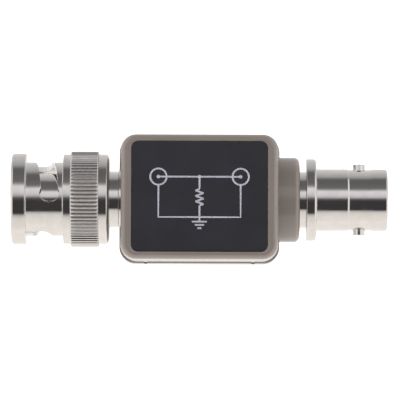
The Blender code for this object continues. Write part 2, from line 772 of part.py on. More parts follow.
def make_plug_body(axis, material):
    bore = SLEEVE_RADIUS - SLEEVE_WALL
    step_radius = INSULATOR_TAIL_RADIUS + SEAT_GAP
    shoulder_back = SHOULDER_FACE - OUTER_SHOULDER_THICKNESS
    profile = [
        (HEX_INSIDE, step_radius),
        (HEX_INSIDE, THREAD_RADIUS),
        (SHOULDER_INSIDE, THREAD_RADIUS),
        (SHOULDER_INSIDE, SHOULDER_RADIUS),
        (SHOULDER_OUTSIDE, SHOULDER_RADIUS),
        (SHOULDER_OUTSIDE, STEM_RADIUS),
        (shoulder_back, STEM_RADIUS),
        (shoulder_back, OUTER_SHOULDER_RADIUS),
        (SHOULDER_FACE, OUTER_SHOULDER_RADIUS),
        (SHOULDER_FACE, STEM_RADIUS),
        (PLUG_FLANGE_START, STEM_RADIUS),
        (PLUG_FLANGE_START, PLUG_FLANGE_RADIUS),
        (PLUG_FLANGE_END, PLUG_FLANGE_RADIUS),
        (PLUG_FLANGE_END, SLEEVE_RADIUS),
        (SLEEVE_TIP - 3 * SLEEVE_WALL, SLEEVE_RADIUS),
        (SLEEVE_TIP - 2 * SLEEVE_WALL, SLEEVE_RADIUS + SLEEVE_BULGE),
        (SLEEVE_TIP - SLEEVE_WALL, SLEEVE_RADIUS + SLEEVE_BULGE),
        (SLEEVE_TIP, SLEEVE_RADIUS - SLEEVE_BULGE),
        (SLEEVE_TIP, bore),
        (BORE_STEP, bore),
        (BORE_STEP, step_radius),
    ]
    body = turned("plug_body", profile, axis, material)
    slots = contact_slots(
        "sleeve_slot",
        SLEEVE_TIP,
        SLEEVE_SLOT_LENGTH,
        SLEEVE_SLOT_WIDTH,
        SLEEVE_RADIUS,
        axis,
        SLEEVE_SLOT_ANGLE,
    )
    cut(body, *slots)


def make_plug_insulator(axis, material):
    outer = SLEEVE_RADIUS - SLEEVE_WALL - SEAT_GAP
    tail = TAIL_RADIUS + PRESS_GAP
    seat = BORE_STEP + SEAT_GAP
    front_web = PLUG_DIELECTRIC_END - PIN_TAPER
    profile = [
        (HEX_INSIDE - INSULATOR_TAIL_SHOW, tail),
        (HEX_INSIDE - INSULATOR_TAIL_SHOW, INSULATOR_TAIL_RADIUS),
        (seat, INSULATOR_TAIL_RADIUS),
        (seat, outer),
        (PLUG_DIELECTRIC_END, outer),
        (PLUG_DIELECTRIC_END, PIN_RADIUS + PRESS_GAP),
        (front_web, PIN_RADIUS + PRESS_GAP),
        (front_web, PIN_BODY_RADIUS + PRESS_GAP),
        (seat, PIN_BODY_RADIUS + PRESS_GAP),
        (seat, tail),
    ]
    turned("plug_insulator", profile, axis, material, SMALL_ROUND)


def make_plug_pin(axis, material):
    base = BORE_STEP + 2 * SEAT_GAP
    front = PLUG_DIELECTRIC_END - PIN_TAPER - PRESS_GAP
    profile = [
        (TAIL_END, 0),
        (TAIL_END, TAIL_RADIUS),
        (base, TAIL_RADIUS),
        (base, PIN_BODY_RADIUS),
        (front, PIN_BODY_RADIUS),
        (front, PIN_RADIUS),
        (PIN_TIP - PIN_TAPER, PIN_RADIUS),
        (PIN_TIP - PIN_TAPER / 4, PIN_RADIUS / 2),
        (PIN_TIP, PIN_RADIUS / 5),
        (PIN_TIP, 0),
    ]
    turned("plug_pin", profile, axis, material, SMALL_ROUND)


def make_plug_gasket(axis, material):
    inner = SLEEVE_RADIUS + PRESS_GAP
    outer = NUT_BORE_RADIUS - SEAT_GAP
    profile = [
        (GASKET_START, inner),
        (GASKET_START, outer),
        (GASKET_END, outer),
        (GASKET_END, inner),
    ]
    turned("plug_gasket", profile, axis, material)


def ring_tag(name, side, axis, material):
    """A solder tag: a ring on the thread, with an arm bent back under the board's ground."""
    inner = THREAD_RADIUS + SEAT_GAP
    profile = [
        (TAG_INSIDE, inner),
        (TAG_INSIDE, TAG_RADIUS),
        (TAG_OUTSIDE, TAG_RADIUS),
        (TAG_OUTSIDE, inner),
    ]
    tag = turned(name, profile, axis, material)
    top = UNDER_LAND - BOARD_GAP
    foot = top - TAG_ARM_HEIGHT
    ys = sorted((side * inner, side * (TAG_ARM_Y + TAG_THICKNESS)))
    ear = boxed(name + "_ear", (TAG_INSIDE, ys[0], foot), (TAG_OUTSIDE, ys[1], top), axis)
    ys = sorted((side * TAG_ARM_Y, side * (TAG_ARM_Y + TAG_THICKNESS)))
    arm = boxed(
        name + "_arm",
        (BOARD_END - TAG_ARM_OVERLAP, ys[0], foot),
        (TAG_OUTSIDE, ys[1], top),
        axis,
    )
    joined(tag, joined(ear, arm))


def hex_nut(name, axis, material):
    """A thin hex nut with chamfered corners, two of its flats facing the shells."""
    corner = HEX_FLATS / math.sqrt(3)
    bm = bmesh.new()
    bmesh.ops.create_cone(
        bm, cap_ends=True, segments=6, radius1=corner, radius2=corner, depth=HEX_THICKNESS
    )
    nut = place(name, mesh_from(name, bm), axis, material)
    nut.location = ((HEX_INSIDE + HEX_OUTSIDE) / 2, 0, 0)
    nut.rotation_euler = (0, math.radians(90), 0)
    chamfer = turned(
        name + "_chamfer",
        [
            (HEX_INSIDE - MM, 0),
            (HEX_INSIDE - MM, HEX_FLATS / 2),
            (HEX_INSIDE, HEX_FLATS / 2),
            (HEX_INSIDE + HEX_CHAMFER, corner),
            (HEX_OUTSIDE - HEX_CHAMFER, corner),
            (HEX_OUTSIDE, HEX_FLATS / 2),
            (HEX_OUTSIDE + MM, HEX_FLATS / 2),
            (HEX_OUTSIDE + MM, 0),
        ],
        axis,
        steps=SMALL_ROUND,
    )
    trim = nut.modifiers.new("chamfer corners", "BOOLEAN")
    trim.operation = "INTERSECT"
    trim.object = chamfer
    bore = turned(
        name + "_bore",
        [
            (HEX_INSIDE - 2 * MM, 0),
            (HEX_INSIDE - 2 * MM, THREAD_RADIUS + SEAT_GAP),
            (HEX_OUTSIDE + 2 * MM, THREAD_RADIUS + SEAT_GAP),
            (HEX_OUTSIDE + 2 * MM, 0),
        ],
        axis,
    )
    cut(nut, bore)


def knurl_band(axis):
    """A straight-knurled wheel: teeth with rounded crests, chamfered at both ends."""
    pitch = 2 * math.pi / KNURL_TEETH
    start = NUT_MOUTH - KNURL_SETBACK
    stations = [
        (start, KNURL_CHAMFER),
        (start - KNURL_CHAMFER, 0),
        (start - KNURL_LENGTH + KNURL_CHAMFER, 0),
        (start - KNURL_LENGTH, KNURL_CHAMFER),
    ]
    rings = []
    for x, inset in stations:
        ring = []
        for tooth in range(KNURL_TEETH):
            for share, radius in (
                (0.0, KNURL_TIP_RADIUS - inset),
                (0.24, KNURL_TIP_RADIUS - CREST_DROP - inset),
                (0.5, KNURL_ROOT_RADIUS - inset / 3),
                (0.76, KNURL_TIP_RADIUS - CREST_DROP - inset),
            ):
                turn = (tooth + share) * pitch
                ring.append((x, radius * math.sin(turn), radius * math.cos(turn)))
        rings.append(ring)
    return lofted("knurl_band", rings, axis)


def slot_setback(share):
    """How far behind the mouth the slot's middle lies, from its entry (0) to its end (1)."""
    left = (1 - share) ** SLOT_CURVE
    return SLOT_END_SETBACK - (SLOT_END_SETBACK - SLOT_ENTRY_SETBACK) * left


def radial_peg(name, setback, radius, inner, outer, turn, axis):
    """A cutter that goes straight through the nut's wall, from outside to inside."""
    bm = bmesh.new()
    bmesh.ops.create_cone(
        bm,
        cap_ends=True,
        segments=SMALL_ROUND,
        radius1=radius,
        radius2=radius,
        depth=outer - inner,
    )
    bmesh.ops.translate(bm, verts=bm.verts, vec=(NUT_MOUTH - setback, 0, (inner + outer) / 2))
    peg = place(name, mesh_from(name, bm), axis)
    peg.rotation_euler = (-turn, 0, 0)
    return peg


def bayonet_slot(index, axis):
    """Cutters of one bayonet slot: an axial entry groove, a curved ramp and a round detent.

    A turn is counted from +Z. The plug's axis points outwards, so the slot climbs from its
    entry towards smaller turns in the plug's own frame.
    """
    half_turn = index * math.pi
    inner = NUT_BORE_RADIUS - 2 * SEAT_GAP
    outer = NECKED_RADIUS + 2 * SEAT_GAP
    detent_turn = half_turn - DETENT_ANGLE
    end_turn = detent_turn - DETENT_LEAD
    entry_turn = end_turn - SLOT_TURN
    middle = []
    for i in range(SLOT_STEPS + 1):
        share = i / SLOT_STEPS
        middle.append((entry_turn + share * SLOT_TURN, slot_setback(share)))
    rings = []
    for i, (turn, setback) in enumerate(middle):
        before = middle[max(i - 1, 0)]
        after = middle[min(i + 1, SLOT_STEPS)]
        along = (after[0] - before[0]) * NECKED_RADIUS
        back = after[1] - before[1]
        length = math.hypot(along, back)
        side_turn = SLOT_WIDTH / 2 * back / length / NECKED_RADIUS
        side_back = SLOT_WIDTH / 2 * along / length
        ring = []
        for sign, radius in ((-1, inner), (1, inner), (1, outer), (-1, outer)):
            a = turn - sign * side_turn
            x = NUT_MOUTH - setback - sign * side_back
            ring.append((x, radius * math.sin(a), radius * math.cos(a)))
        rings.append(ring)
    ramp = lofted(f"slot_ramp_{index}", rings, axis)
    groove_half = SLOT_WIDTH / 2 - SEAT_GAP
    groove = boxed(
        f"slot_groove_{index}",
        (NUT_MOUTH - SLOT_ENTRY_SETBACK, -groove_half, inner),
        (NUT_MOUTH + WALL, groove_half, GROOVE_RADIUS),
        axis,
    )
    groove.rotation_euler = (-entry_turn, 0, 0)
    entry_radius = SLOT_WIDTH / 2 + SEAT_GAP / 2
    inner -= SEAT_GAP
    outer += SEAT_GAP
    entry = radial_peg(
        f"slot_entry_{index}", SLOT_ENTRY_SETBACK, entry_radius, inner, outer, entry_turn, axis
    )
    detent = radial_peg(
        f"slot_detent_{index}", DETENT_SETBACK, DETENT_RADIUS, inner, outer, detent_turn, axis
    )
    return ramp, groove, entry, detent


def nut_outside(axis, material):
    ring_start = NUT_MOUTH - RING_LENGTH
    necked_end = ring_start - NECKED_LENGTH
    rear_round = quarter_round(
        (NUT_REAR + REAR_CONE + REAR_ROUND, LAND_RADIUS - REAR_ROUND), REAR_ROUND, 90
    )
    profile = [
        (NUT_MOUTH, 0),
        (NUT_MOUTH, RING_RADIUS - RING_CHAMFER),
        (NUT_MOUTH - RING_CHAMFER, RING_RADIUS),
        (ring_start + NUT_FILLET, RING_RADIUS),
        (ring_start, RING_RADIUS - NUT_FILLET),
        (ring_start, NECKED_RADIUS + NUT_FILLET),
        (ring_start - NUT_FILLET, NECKED_RADIUS),
        (necked_end, NECKED_RADIUS),
        (necked_end, LAND_RADIUS - NUT_FILLET),
        (necked_end - NUT_FILLET, LAND_RADIUS),
        *rear_round,
        (NUT_REAR, REAR_HOLE_RADIUS),
        (NUT_REAR, 0),
    ]
    return turned("coupling_nut", profile, axis, material)


def make_coupling_nut(axis, material):
    """The bayonet nut, turned from bar: knurled, bored from both ends, and slotted twice."""
    nut = joined(nut_outside(axis, material), knurl_band(axis))
    bore = turned(
        "nut_bore",
        [
            (NUT_REAR - MM, 0),
            (NUT_REAR - MM, REAR_HOLE_RADIUS),
            (LIP_INSIDE, REAR_HOLE_RADIUS),
            (LIP_INSIDE, WASHER_BORE_RADIUS),
            (NUT_STEP, WASHER_BORE_RADIUS),
            (NUT_STEP, NUT_BORE_RADIUS),
            (NUT_MOUTH - NUT_MOUTH_CHAMFER, NUT_BORE_RADIUS),
            (NUT_MOUTH + MM, NUT_BORE_RADIUS + NUT_MOUTH_CHAMFER + MM),
            (NUT_MOUTH + MM, 0),
        ],
        axis,
    )
    cut(nut, bore)
    for index in range(2):
        cut(nut, *bayonet_slot(index, axis))


def make_thrust_washer(axis, material):
    inner = STEM_RADIUS + THRUST_RUNNING_GAP
    outer = WASHER_BORE_RADIUS - THRUST_RUNNING_GAP
    profile = [
        (THRUST_START, inner),
        (THRUST_START, outer),
        (THRUST_END, outer),
        (THRUST_END, inner),
    ]
    turned("thrust_washer", profile, axis, material)


def make_wave_washer(axis, material):
    """A three-wave spring washer, at its free height."""
    inner = STEM_RADIUS + THRUST_RUNNING_GAP
    outer = WASHER_BORE_RADIUS - THRUST_RUNNING_GAP
    swing = (WAVE_HEIGHT - WAVE_THICKNESS) / 2
    bm = bmesh.new()
    loops = []
    for radius in (inner, outer):
        loop = []
        for i in range(ROUND):
            turn = 2 * math.pi * i / ROUND
            x = WAVE_START + WAVE_HEIGHT / 2 + swing * math.cos(WAVES * turn)
            loop.append(bm.verts.new((x, radius * math.sin(turn), radius * math.cos(turn))))
        loops.append(loop)
    for i in range(ROUND):
        j = (i + 1) % ROUND
        bm.faces.new((loops[0][i], loops[0][j], loops[1][j], loops[1][i]))
    washer = place("wave_washer", mesh_from("wave_washer", bm), axis, material)
    thicken = washer.modifiers.new("thickness", "SOLIDIFY")
    thicken.thickness = WAVE_THICKNESS
    thicken.offset = 0


def make_board(axis, material):
    """The circuit board: a signal strip between ground lands, which go round to its underside."""
    half = BOARD_WIDTH / 2
    board = boxed(
        "circuit_board", (-BOARD_END, -half, BOARD_BOTTOM), (BOARD_END, half, BOARD_TOP), axis, material
    )
    end = BOARD_END - LAND_MARGIN
    below = BOARD_TOP - BOARD_THICKNESS / 2
    strip = boxed(
        "signal_land", (-end, -STRIP_WIDTH / 2, below), (end, STRIP_WIDTH / 2, LAND_TOP), axis
    )
    upper = boxed("upper_land", (-end, GROUND_START, below), (end, half - LAND_MARGIN, LAND_TOP), axis)
    lower = boxed("lower_land", (-end, LAND_MARGIN - half, below), (end, -GROUND_START, LAND_TOP), axis)
    joined(board, strip, upper, lower)
    for sy in (-1, 1):
        ys = sorted((sy * GROUND_START, sy * (half - LAND_MARGIN)))
        under = boxed(f"under_land_{sy + 1}", (-end, ys[0], UNDER_LAND), (end, ys[1], below), axis)
        joined(board, under)


def make_resistors(axis, material):
    """Four equal chip resistors, two on each side of the signal strip."""
    floor = LAND_TOP + BOARD_GAP
    number = 0
    for sy in (-1, 1):
        for sx in (-1, 1):
            number += 1
            name = f"chip_resistor_{number}"
            x = sx * RESISTOR_SPACING / 2
            near = RESISTOR_START
            far = RESISTOR_START + RESISTOR_LENGTH
            half = RESISTOR_WIDTH / 2
            inset = RESISTOR_CAP_RISE
            ys = sorted((sy * (near + inset), sy * (far - inset)))
            chip = boxed(
                name,
                (x - half + inset, ys[0], floor + inset),
                (x + half - inset, ys[1], floor + RESISTOR_HEIGHT - inset),
                axis,
                material,
            )
            caps = []
            for word, start in (("strip", near), ("ground", far - RESISTOR_CAP)):
                ys = sorted((sy * start, sy * (start + RESISTOR_CAP)))
                caps.append(
                    boxed(
                        f"{name}_{word}_cap",
                        (x - half, ys[0], floor),
                        (x + half, ys[1], floor + RESISTOR_HEIGHT),
                        axis,
                    )
                )
            joined(chip, *caps)


def main():
    clear_scene()
    new_collection("feed_through_terminator")
    new_collection("cutters", hidden=True)
    taupe = new_material("taupe_plastic", TAUPE, 0.45)
    label = new_material("label_film", INK_BLUE, 0.4)
    nickel = new_material("nickel_plate", NICKEL, 0.18, 1.0)
    gold = new_material("gold_plate", GOLD, 0.2, 1.0)
    ptfe = new_material("ptfe", PTFE, 0.5)
    steel = new_material("spring_steel", SPRING_STEEL, 0.35, 1.0)
    silicone = new_material("silicone", SILICONE, 0.7)
    green = new_material("board_laminate", BOARD_GREEN, 0.5)
    black = new_material("chip_ceramic", CHIP_BLACK, 0.5)

    height = SHELL_DEPTH
    housing_axis = new_axis("housing_axis", height)
    jack_axis = new_axis("jack_axis", height)
    plug_axis = new_axis("plug_axis", height, math.pi)

    make_front_shell(housing_axis, taupe)
    make_rear_shell(housing_axis, taupe)
    make_label(housing_axis, label)
    make_board(housing_axis, green)
    make_resistors(housing_axis, black)

    make_jack_body(jack_axis, nickel)
    make_lugs(jack_axis, nickel)
    make_jack_insulator(jack_axis, ptfe)
    make_jack_socket(jack_axis, gold)
    ring_tag("jack_ground_tag", -1, jack_axis, nickel)
    hex_nut("jack_hex_nut", jack_axis, nickel)

    make_plug_body(plug_axis, nickel)
    make_plug_insulator(plug_axis, ptfe)
    make_plug_pin(plug_axis, gold)
    make_plug_gasket(plug_axis, silicone)
    ring_tag("plug_ground_tag", -1, plug_axis, nickel)
    hex_nut("plug_hex_nut", plug_axis, nickel)
    make_coupling_nut(plug_axis, nickel)
    make_thrust_washer(plug_axis, nickel)
    make_wave_washer(plug_axis, steel)


main()
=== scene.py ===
# %% [markdown]
# A coaxial feed-through terminator, dressed for a close photograph
#
# The object is an inline connector: a bayonet plug on the left, a small plastic box that hides a
# resistive load, and a bayonet jack on the right. The CAD model already holds every piece at its
# real size. This script puts a finer skin over the pieces that show, and gives all of them their
# real finishes. It loads the CAD model first and keeps its box.

import math

import bmesh
import bpy
from mathutils import Matrix, Vector


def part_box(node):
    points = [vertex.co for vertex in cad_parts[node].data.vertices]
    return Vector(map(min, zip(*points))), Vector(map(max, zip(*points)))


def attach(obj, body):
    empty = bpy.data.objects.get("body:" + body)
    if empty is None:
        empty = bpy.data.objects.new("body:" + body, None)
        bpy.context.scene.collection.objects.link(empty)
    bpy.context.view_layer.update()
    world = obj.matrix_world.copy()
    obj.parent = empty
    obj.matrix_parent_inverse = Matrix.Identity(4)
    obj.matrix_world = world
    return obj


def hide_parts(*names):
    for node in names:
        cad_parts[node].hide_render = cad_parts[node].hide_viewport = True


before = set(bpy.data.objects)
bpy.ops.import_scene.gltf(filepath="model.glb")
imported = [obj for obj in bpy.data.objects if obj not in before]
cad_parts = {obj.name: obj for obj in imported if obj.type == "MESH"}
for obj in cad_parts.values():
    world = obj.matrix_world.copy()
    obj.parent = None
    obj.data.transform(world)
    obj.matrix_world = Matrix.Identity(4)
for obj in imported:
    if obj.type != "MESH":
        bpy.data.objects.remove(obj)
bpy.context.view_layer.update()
MM = 0.001
AXIS = 7.7 * MM
HOUSING = "housing_and_bodies"

# %% [markdown]
# Arithmetic in node trees
#
# Shader maths is easier to read as Python. A Wire wraps one output socket, and adding or
# multiplying Wires adds Math nodes to the tree. A Graph adds any other node in one call: first its
# settings, then the values or links of its input sockets. Both work in shader trees and in Geometry
# Nodes trees, because the Math node is the same in each.

# %% Wires and graphs
class Wire:
    """One output socket that takes part in Python expressions."""

    def __init__(self, graph, socket):
        self.graph = graph
        self.socket = socket

    def maths(self, operation, *values):
        numbered = dict(enumerate(values))
        return self.graph.add("ShaderNodeMath", {"operation": operation}, numbered)

    def __add__(self, other):
        return self.maths("ADD", self, other)

    def __sub__(self, other):
        return self.maths("SUBTRACT", self, other)

    def __rsub__(self, other):
        return self.maths("SUBTRACT", other, self)

    def __mul__(self, other):
        return self.maths("MULTIPLY", self, other)

    def __truediv__(self, other):
        return self.maths("DIVIDE", self, other)

    def __rtruediv__(self, other):
        return self.maths("DIVIDE", other, self)

    def __gt__(self, other):
        return self.maths("GREATER_THAN", self, other)

    def __abs__(self):
        return self.maths("ABSOLUTE", self)

    def floor(self):
        return self.maths("FLOOR", self)

    def ramp(self, low, high, start=0.0, end=1.0, linear=False):
        """A step of this value, from start at low to end at high, smooth unless it is linear."""
        values = {"Value": self, "From Min": low, "From Max": high, "To Min": start, "To Max": end}
        settings = {"interpolation_type": "LINEAR" if linear else "SMOOTHSTEP", "clamp": True}
        return self.graph.add("ShaderNodeMapRange", settings, values)


class Graph:
    """A node tree that is built one call at a time."""

    def __init__(self, tree):
        self.tree = tree

    def add(self, kind, settings=None, sockets=None, out=0):
        node = self.tree.nodes.new(kind)
        for name, value in (settings or {}).items():
            setattr(node, name, value)
        for key, value in (sockets or {}).items():
            if isinstance(value, Wire):
                self.tree.links.new(value.socket, node.inputs[key])
            else:
                node.inputs[key].default_value = value
        return Wire(self, node.outputs[out]) if len(node.outputs) else node

    def place(self):
        """The Object coordinates of a shaded point."""
        return self.add("ShaderNodeTexCoord", out="Object")

    def split(self, vector):
        """The X, Y and Z of a vector."""
        node = self.add("ShaderNodeSeparateXYZ", None, {0: vector}).socket.node
        return [Wire(self, output) for output in node.outputs]

    def rays(self):
        """Whether a ray comes from the camera, and whether it is a glossy one."""
        kinds = ("Is Camera Ray", "Is Glossy Ray")
        return [self.add("ShaderNodeLightPath", out=kind) for kind in kinds]

    def noise(self, vector, size, detail=2.0, squash=(1, 1, 1)):
        """Noise whose grains are about size metres across, stretched by squash."""
        scaled = self.add("ShaderNodeVectorMath", {"operation": "MULTIPLY"}, {0: vector, 1: squash})
        sockets = {"Vector": scaled, "Scale": 1 / size, "Detail": detail}
        return self.add("ShaderNodeTexNoise", None, sockets)

    def steps(self, factor, stops):
        """A colour ramp through (position, colour) stops."""
        ramp = self.add("ShaderNodeValToRGB", None, {0: factor})
        elements = ramp.socket.node.color_ramp.elements
        while len(elements) < len(stops):
            elements.new(0.5)
        for element, (position, colour) in zip(elements, stops):
            element.position = position
            element.color = (*colour, 1)
        return ramp

    def tint(self, factor, first, second):
        """A colour between two others, either of which may be a Wire."""
        sockets = {0: factor, 6: first, 7: second}
        for key in (6, 7):
            if not isinstance(sockets[key], Wire):
                sockets[key] = (*sockets[key], 1)
        return self.add("ShaderNodeMix", {"data_type": "RGBA"}, sockets, out=2)


def titled(key):
    """A keyword as Blender writes the name of a socket."""
    return key.replace("_", " ").title()


def finish(name, colour, roughness, **constants):
    """A material with plain values, whose varying ones are wired afterwards."""
    material = bpy.data.materials.new(name)
    material.use_nodes = True
    shader = material.node_tree.nodes["Principled BSDF"]
    shader.inputs["Base Color"].default_value = (*colour, 1)
    shader.inputs["Roughness"].default_value = roughness
    for key, value in constants.items():
        shader.inputs[titled(key)].default_value = value
    return material, Graph(material.node_tree), shader


def feed(graph, shader, **wires):
    for key, wire in wires.items():
        graph.tree.links.new(wire.socket, shader.inputs[titled(key)])


def painted(obj, material):
    obj.data.materials.clear()
    obj.data.materials.append(material)


def bumped(graph, height, distance, strength=1.0, edge=0.0):
    """A normal from a height signal, over edges that a Bevel node rounds by edge metres."""
    sockets = {"Strength": strength, "Distance": distance, "Height": height}
    if edge:
        sockets["Normal"] = graph.add("ShaderNodeBevel", {"samples": 4}, {"Radius": edge})
    return graph.add("ShaderNodeBump", None, sockets)


# %% [markdown]
# Bright nickel
#
# The connectors are brass, turned on a lathe and then plated. Plating leaves a bright, slightly
# warm skin, and under it the fine rings of the lathe tool stay just visible. Handling adds a faint
# haze. Rings depend on the place along the X axis only, so the noise is squeezed flat across it.

# %% Metal finishes
def plated(name, colour, roughness, rings=0.15):
    material, graph, shader = finish(name, colour, roughness, metallic=1.0)
    place = graph.place()
    haze = graph.noise(place, 1.6 * MM, 3.0)
    ring = graph.noise(place, 0.09 * MM, 2.0, (1, 0.01, 0.01))
    wear = graph.noise(place, 0.35 * MM, 4.0, (0.4, 1, 1))
    rough = haze.ramp(0.35, 0.75, roughness, roughness + 0.07) + wear.ramp(0.62, 0.8, 0.0, 0.06)
    warm = graph.tint(
        haze.ramp(0.3, 0.7), colour, (colour[0] * 0.95, colour[1] * 0.945, colour[2] * 0.93)
    )
    feed(graph, shader, base_color=warm, roughness=rough)
    feed(graph, shader, normal=bumped(graph, ring, 0.0012 * MM, rings, 0.09 * MM))
    return material


nickel = plated("bright_nickel", (0.74, 0.72, 0.70), 0.075)
knurled_nickel = plated("knurled_nickel", (0.72, 0.70, 0.68), 0.11, 0.02)
gold = plated("gold_plate", (0.86, 0.62, 0.27), 0.16)
spring_steel = plated("spring_steel", (0.42, 0.42, 0.43), 0.3, 0.4)
print("metal finishes: bright and knurled nickel, gold plate, spring steel")

# %% [markdown]
# Moulded taupe plastic
#
# The two shells come from a mould whose walls were spark-eroded, which gives the plastic a fine,
# even grain without any direction. Two sizes of noise make that grain, and a slow third one makes
# the small changes of gloss and tone that moulded parts have.

# %% Plastic finishes
def moulded(name, colour, roughness, grain, coat=0.0, sheen=0.1):
    material, graph, shader = finish(name, colour, roughness, coat_weight=coat, coat_roughness=sheen)
    if coat:
        shader.inputs["Specular IOR Level"].default_value = 0.0
    place = graph.place()
    fine = graph.noise(place, 0.07 * MM, 2.0)
    coarse = graph.noise(place, 0.22 * MM, 2.0)
    cloud = graph.noise(place, 7 * MM, 3.0)
    tone = graph.tint(cloud.ramp(0.3, 0.7), colour, tuple(c * 0.93 for c in colour))
    rough = cloud.ramp(0.3, 0.7, roughness - 0.03, roughness + 0.04)
    feed(graph, shader, base_color=tone, roughness=rough)
    height = fine * 0.6 + coarse * 0.4
    feed(graph, shader, normal=bumped(graph, height, grain, 0.6, 0.06 * MM))
    return material


taupe = moulded("taupe_plastic", (0.192, 0.166, 0.150), 0.3, 0.003 * MM, 1.0)
ptfe = moulded("white_ptfe", (0.80, 0.79, 0.77), 0.42, 0.002 * MM)
silicone = moulded("grey_silicone", (0.30, 0.27, 0.24), 0.62, 0.004 * MM)
print("plastic finishes: taupe housing, white insulators, grey gasket")

# %% [markdown]
# Label film and its ink
#
# The label is a thin film printed almost black, with a blue cast and a satin face. Its ink is a
# pale lilac grey that sits on top as a very thin layer.

# %% Label finishes
film, graph, shader = finish("label_film", (0.0135, 0.013, 0.017), 0.3)
place = graph.place()
speck = graph.noise(place, 0.12 * MM, 3.0)
cloud = graph.noise(place, 5 * MM, 2.0)
deep = graph.tint(cloud.ramp(0.3, 0.7), (0.0120, 0.0125, 0.0172), (0.0142, 0.0148, 0.0198))
feed(graph, shader, base_color=deep, roughness=cloud.ramp(0.3, 0.7, 0.27, 0.34))
feed(graph, shader, normal=bumped(graph, speck, 0.002 * MM, 0.4))

ink, graph, shader = finish("lilac_ink", (0.40, 0.385, 0.43), 0.5)
place = graph.place()
blot = graph.noise(place, 0.25 * MM, 3.0)
lilac = graph.tint(blot.ramp(0.3, 0.7), (0.385, 0.385, 0.455), (0.318, 0.318, 0.38))
feed(graph, shader, base_color=lilac)
print("label finishes: film and ink")

# %% [markdown]
# Inside the housing
#
# The board carries tinned copper lands that stand a little proud of its green mask, so the height
# tells them apart. Each chip resistor is black ceramic with tinned ends, told apart by how far a
# point lies from the resistor's middle.

# %% Board and resistor finishes
LAND_DEPTH, CAP_START = 0.03 * MM, 1.1 * MM
board_low, board_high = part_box("circuit_board")
chip_low, chip_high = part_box("chip_resistor_4")
chip_middle = abs(chip_low.y + chip_high.y) / 2

board_green, graph, shader = finish("solder_mask", (0.03, 0.17, 0.07), 0.35)
place = graph.place()
weave = graph.noise(place, 0.3 * MM, 2.0)
board_middle, board_half = (board_high.z + board_low.z) / 2, (board_high.z - board_low.z) / 2
land = abs(graph.split(place)[2] - board_middle) > board_half - LAND_DEPTH
mask = graph.tint(weave.ramp(0.3, 0.7), (0.025, 0.15, 0.06), (0.04, 0.2, 0.085))
feed(graph, shader, base_color=graph.tint(land, mask, (0.62, 0.61, 0.58)), metallic=land)
feed(graph, shader, normal=bumped(graph, weave, 0.01 * MM, 0.3))

chip_black, graph, shader = finish("chip_resistor", (0.03, 0.03, 0.035), 0.4)
place = graph.place()
cap = abs(abs(graph.split(place)[1]) - chip_middle) > CAP_START
glaze = graph.noise(place, 0.15 * MM, 2.0)
body = graph.tint(glaze.ramp(0.3, 0.7), (0.025, 0.025, 0.03), (0.045, 0.045, 0.05))
feed(graph, shader, base_color=graph.tint(cap, body, (0.66, 0.65, 0.63)), metallic=cap)
feed(graph, shader, roughness=glaze.ramp(0.3, 0.7, 0.25, 0.45))

for name, material in (
    ("circuit_board", board_green),
    *((f"{end}_{kind}", nickel) for end in ("plug", "jack") for kind in ("ground_tag", "hex_nut")),
    ("thrust_washer", nickel),
    ("wave_washer", spring_steel),
    *((f"chip_resistor_{i}", chip_black) for i in range(1, 5)),
):
    painted(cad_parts[name], material)
print("finished CAD nodes inside the housing")

# %% [markdown]
# Turned pieces follow one rule
#
# A lathe sweeps one profile round an axis, and so does this Geometry Nodes tree. The piece's own
# mesh is just its profile, a line of points whose X is the place along the axis and whose Z is the
# radius. The tree makes a grid with one row for each profile point and wraps it round the axis.
# Corners of the profile are softened first, because no turned edge is quite sharp, and it is those
# edges that catch the light.

# %% Softened corners
WELD = 1e-7
STRAIGHT = math.radians(14)
LONGEST_CORNER = 0.42


def softened(points, size, steps=3):
    """The profile with each corner off the axis replaced by a short curve."""
    closed = points[0] == points[-1]
    ring = points[:-1] if closed else points
    result = []
    for i, (x, r) in enumerate(ring):
        corner = Vector((x, r))
        before = Vector(ring[i - 1]) - corner
        after = Vector(ring[(i + 1) % len(ring)]) - corner
        end = not closed and i in (0, len(ring) - 1)
        if end or r == 0 or abs(math.pi - before.angle(after)) < STRAIGHT:
            result.append((x, r))
            continue
        reach = min(size, LONGEST_CORNER * before.length, LONGEST_CORNER * after.length)
        first = corner + before.normalized() * reach
        last = corner + after.normalized() * reach
        for step in range(steps + 1):
            t = step / steps
            result.append(tuple(first * (1 - t) ** 2 + corner * 2 * t * (1 - t) + last * t * t))
    return result + result[:1] if closed else result


# %% The turning tree
def group(name, inputs):
    """An empty Geometry Nodes tree, and a Wire for each of its inputs."""
    tree = bpy.data.node_groups.new(name, "GeometryNodeTree")
    for label, kind in inputs.items():
        tree.interface.new_socket(label, in_out="INPUT", socket_type=f"NodeSocket{kind}")
    tree.interface.new_socket("Made", in_out="OUTPUT", socket_type="NodeSocketGeometry")
    graph = Graph(tree)
    given = tree.nodes.new("NodeGroupInput")
    return graph, [Wire(graph, given.outputs[label]) for label in inputs]


def closed_tree(graph, geometry, material):
    """The tree, with its geometry made real, given its material and led to the output."""
    real = graph.add("GeometryNodeRealizeInstances", None, {"Geometry": geometry})
    done = graph.add("GeometryNodeSetMaterial", None, {"Geometry": real, "Material": material})
    end = graph.tree.nodes.new("NodeGroupOutput")
    graph.tree.links.new(done.socket, end.inputs[0])
    return graph.tree


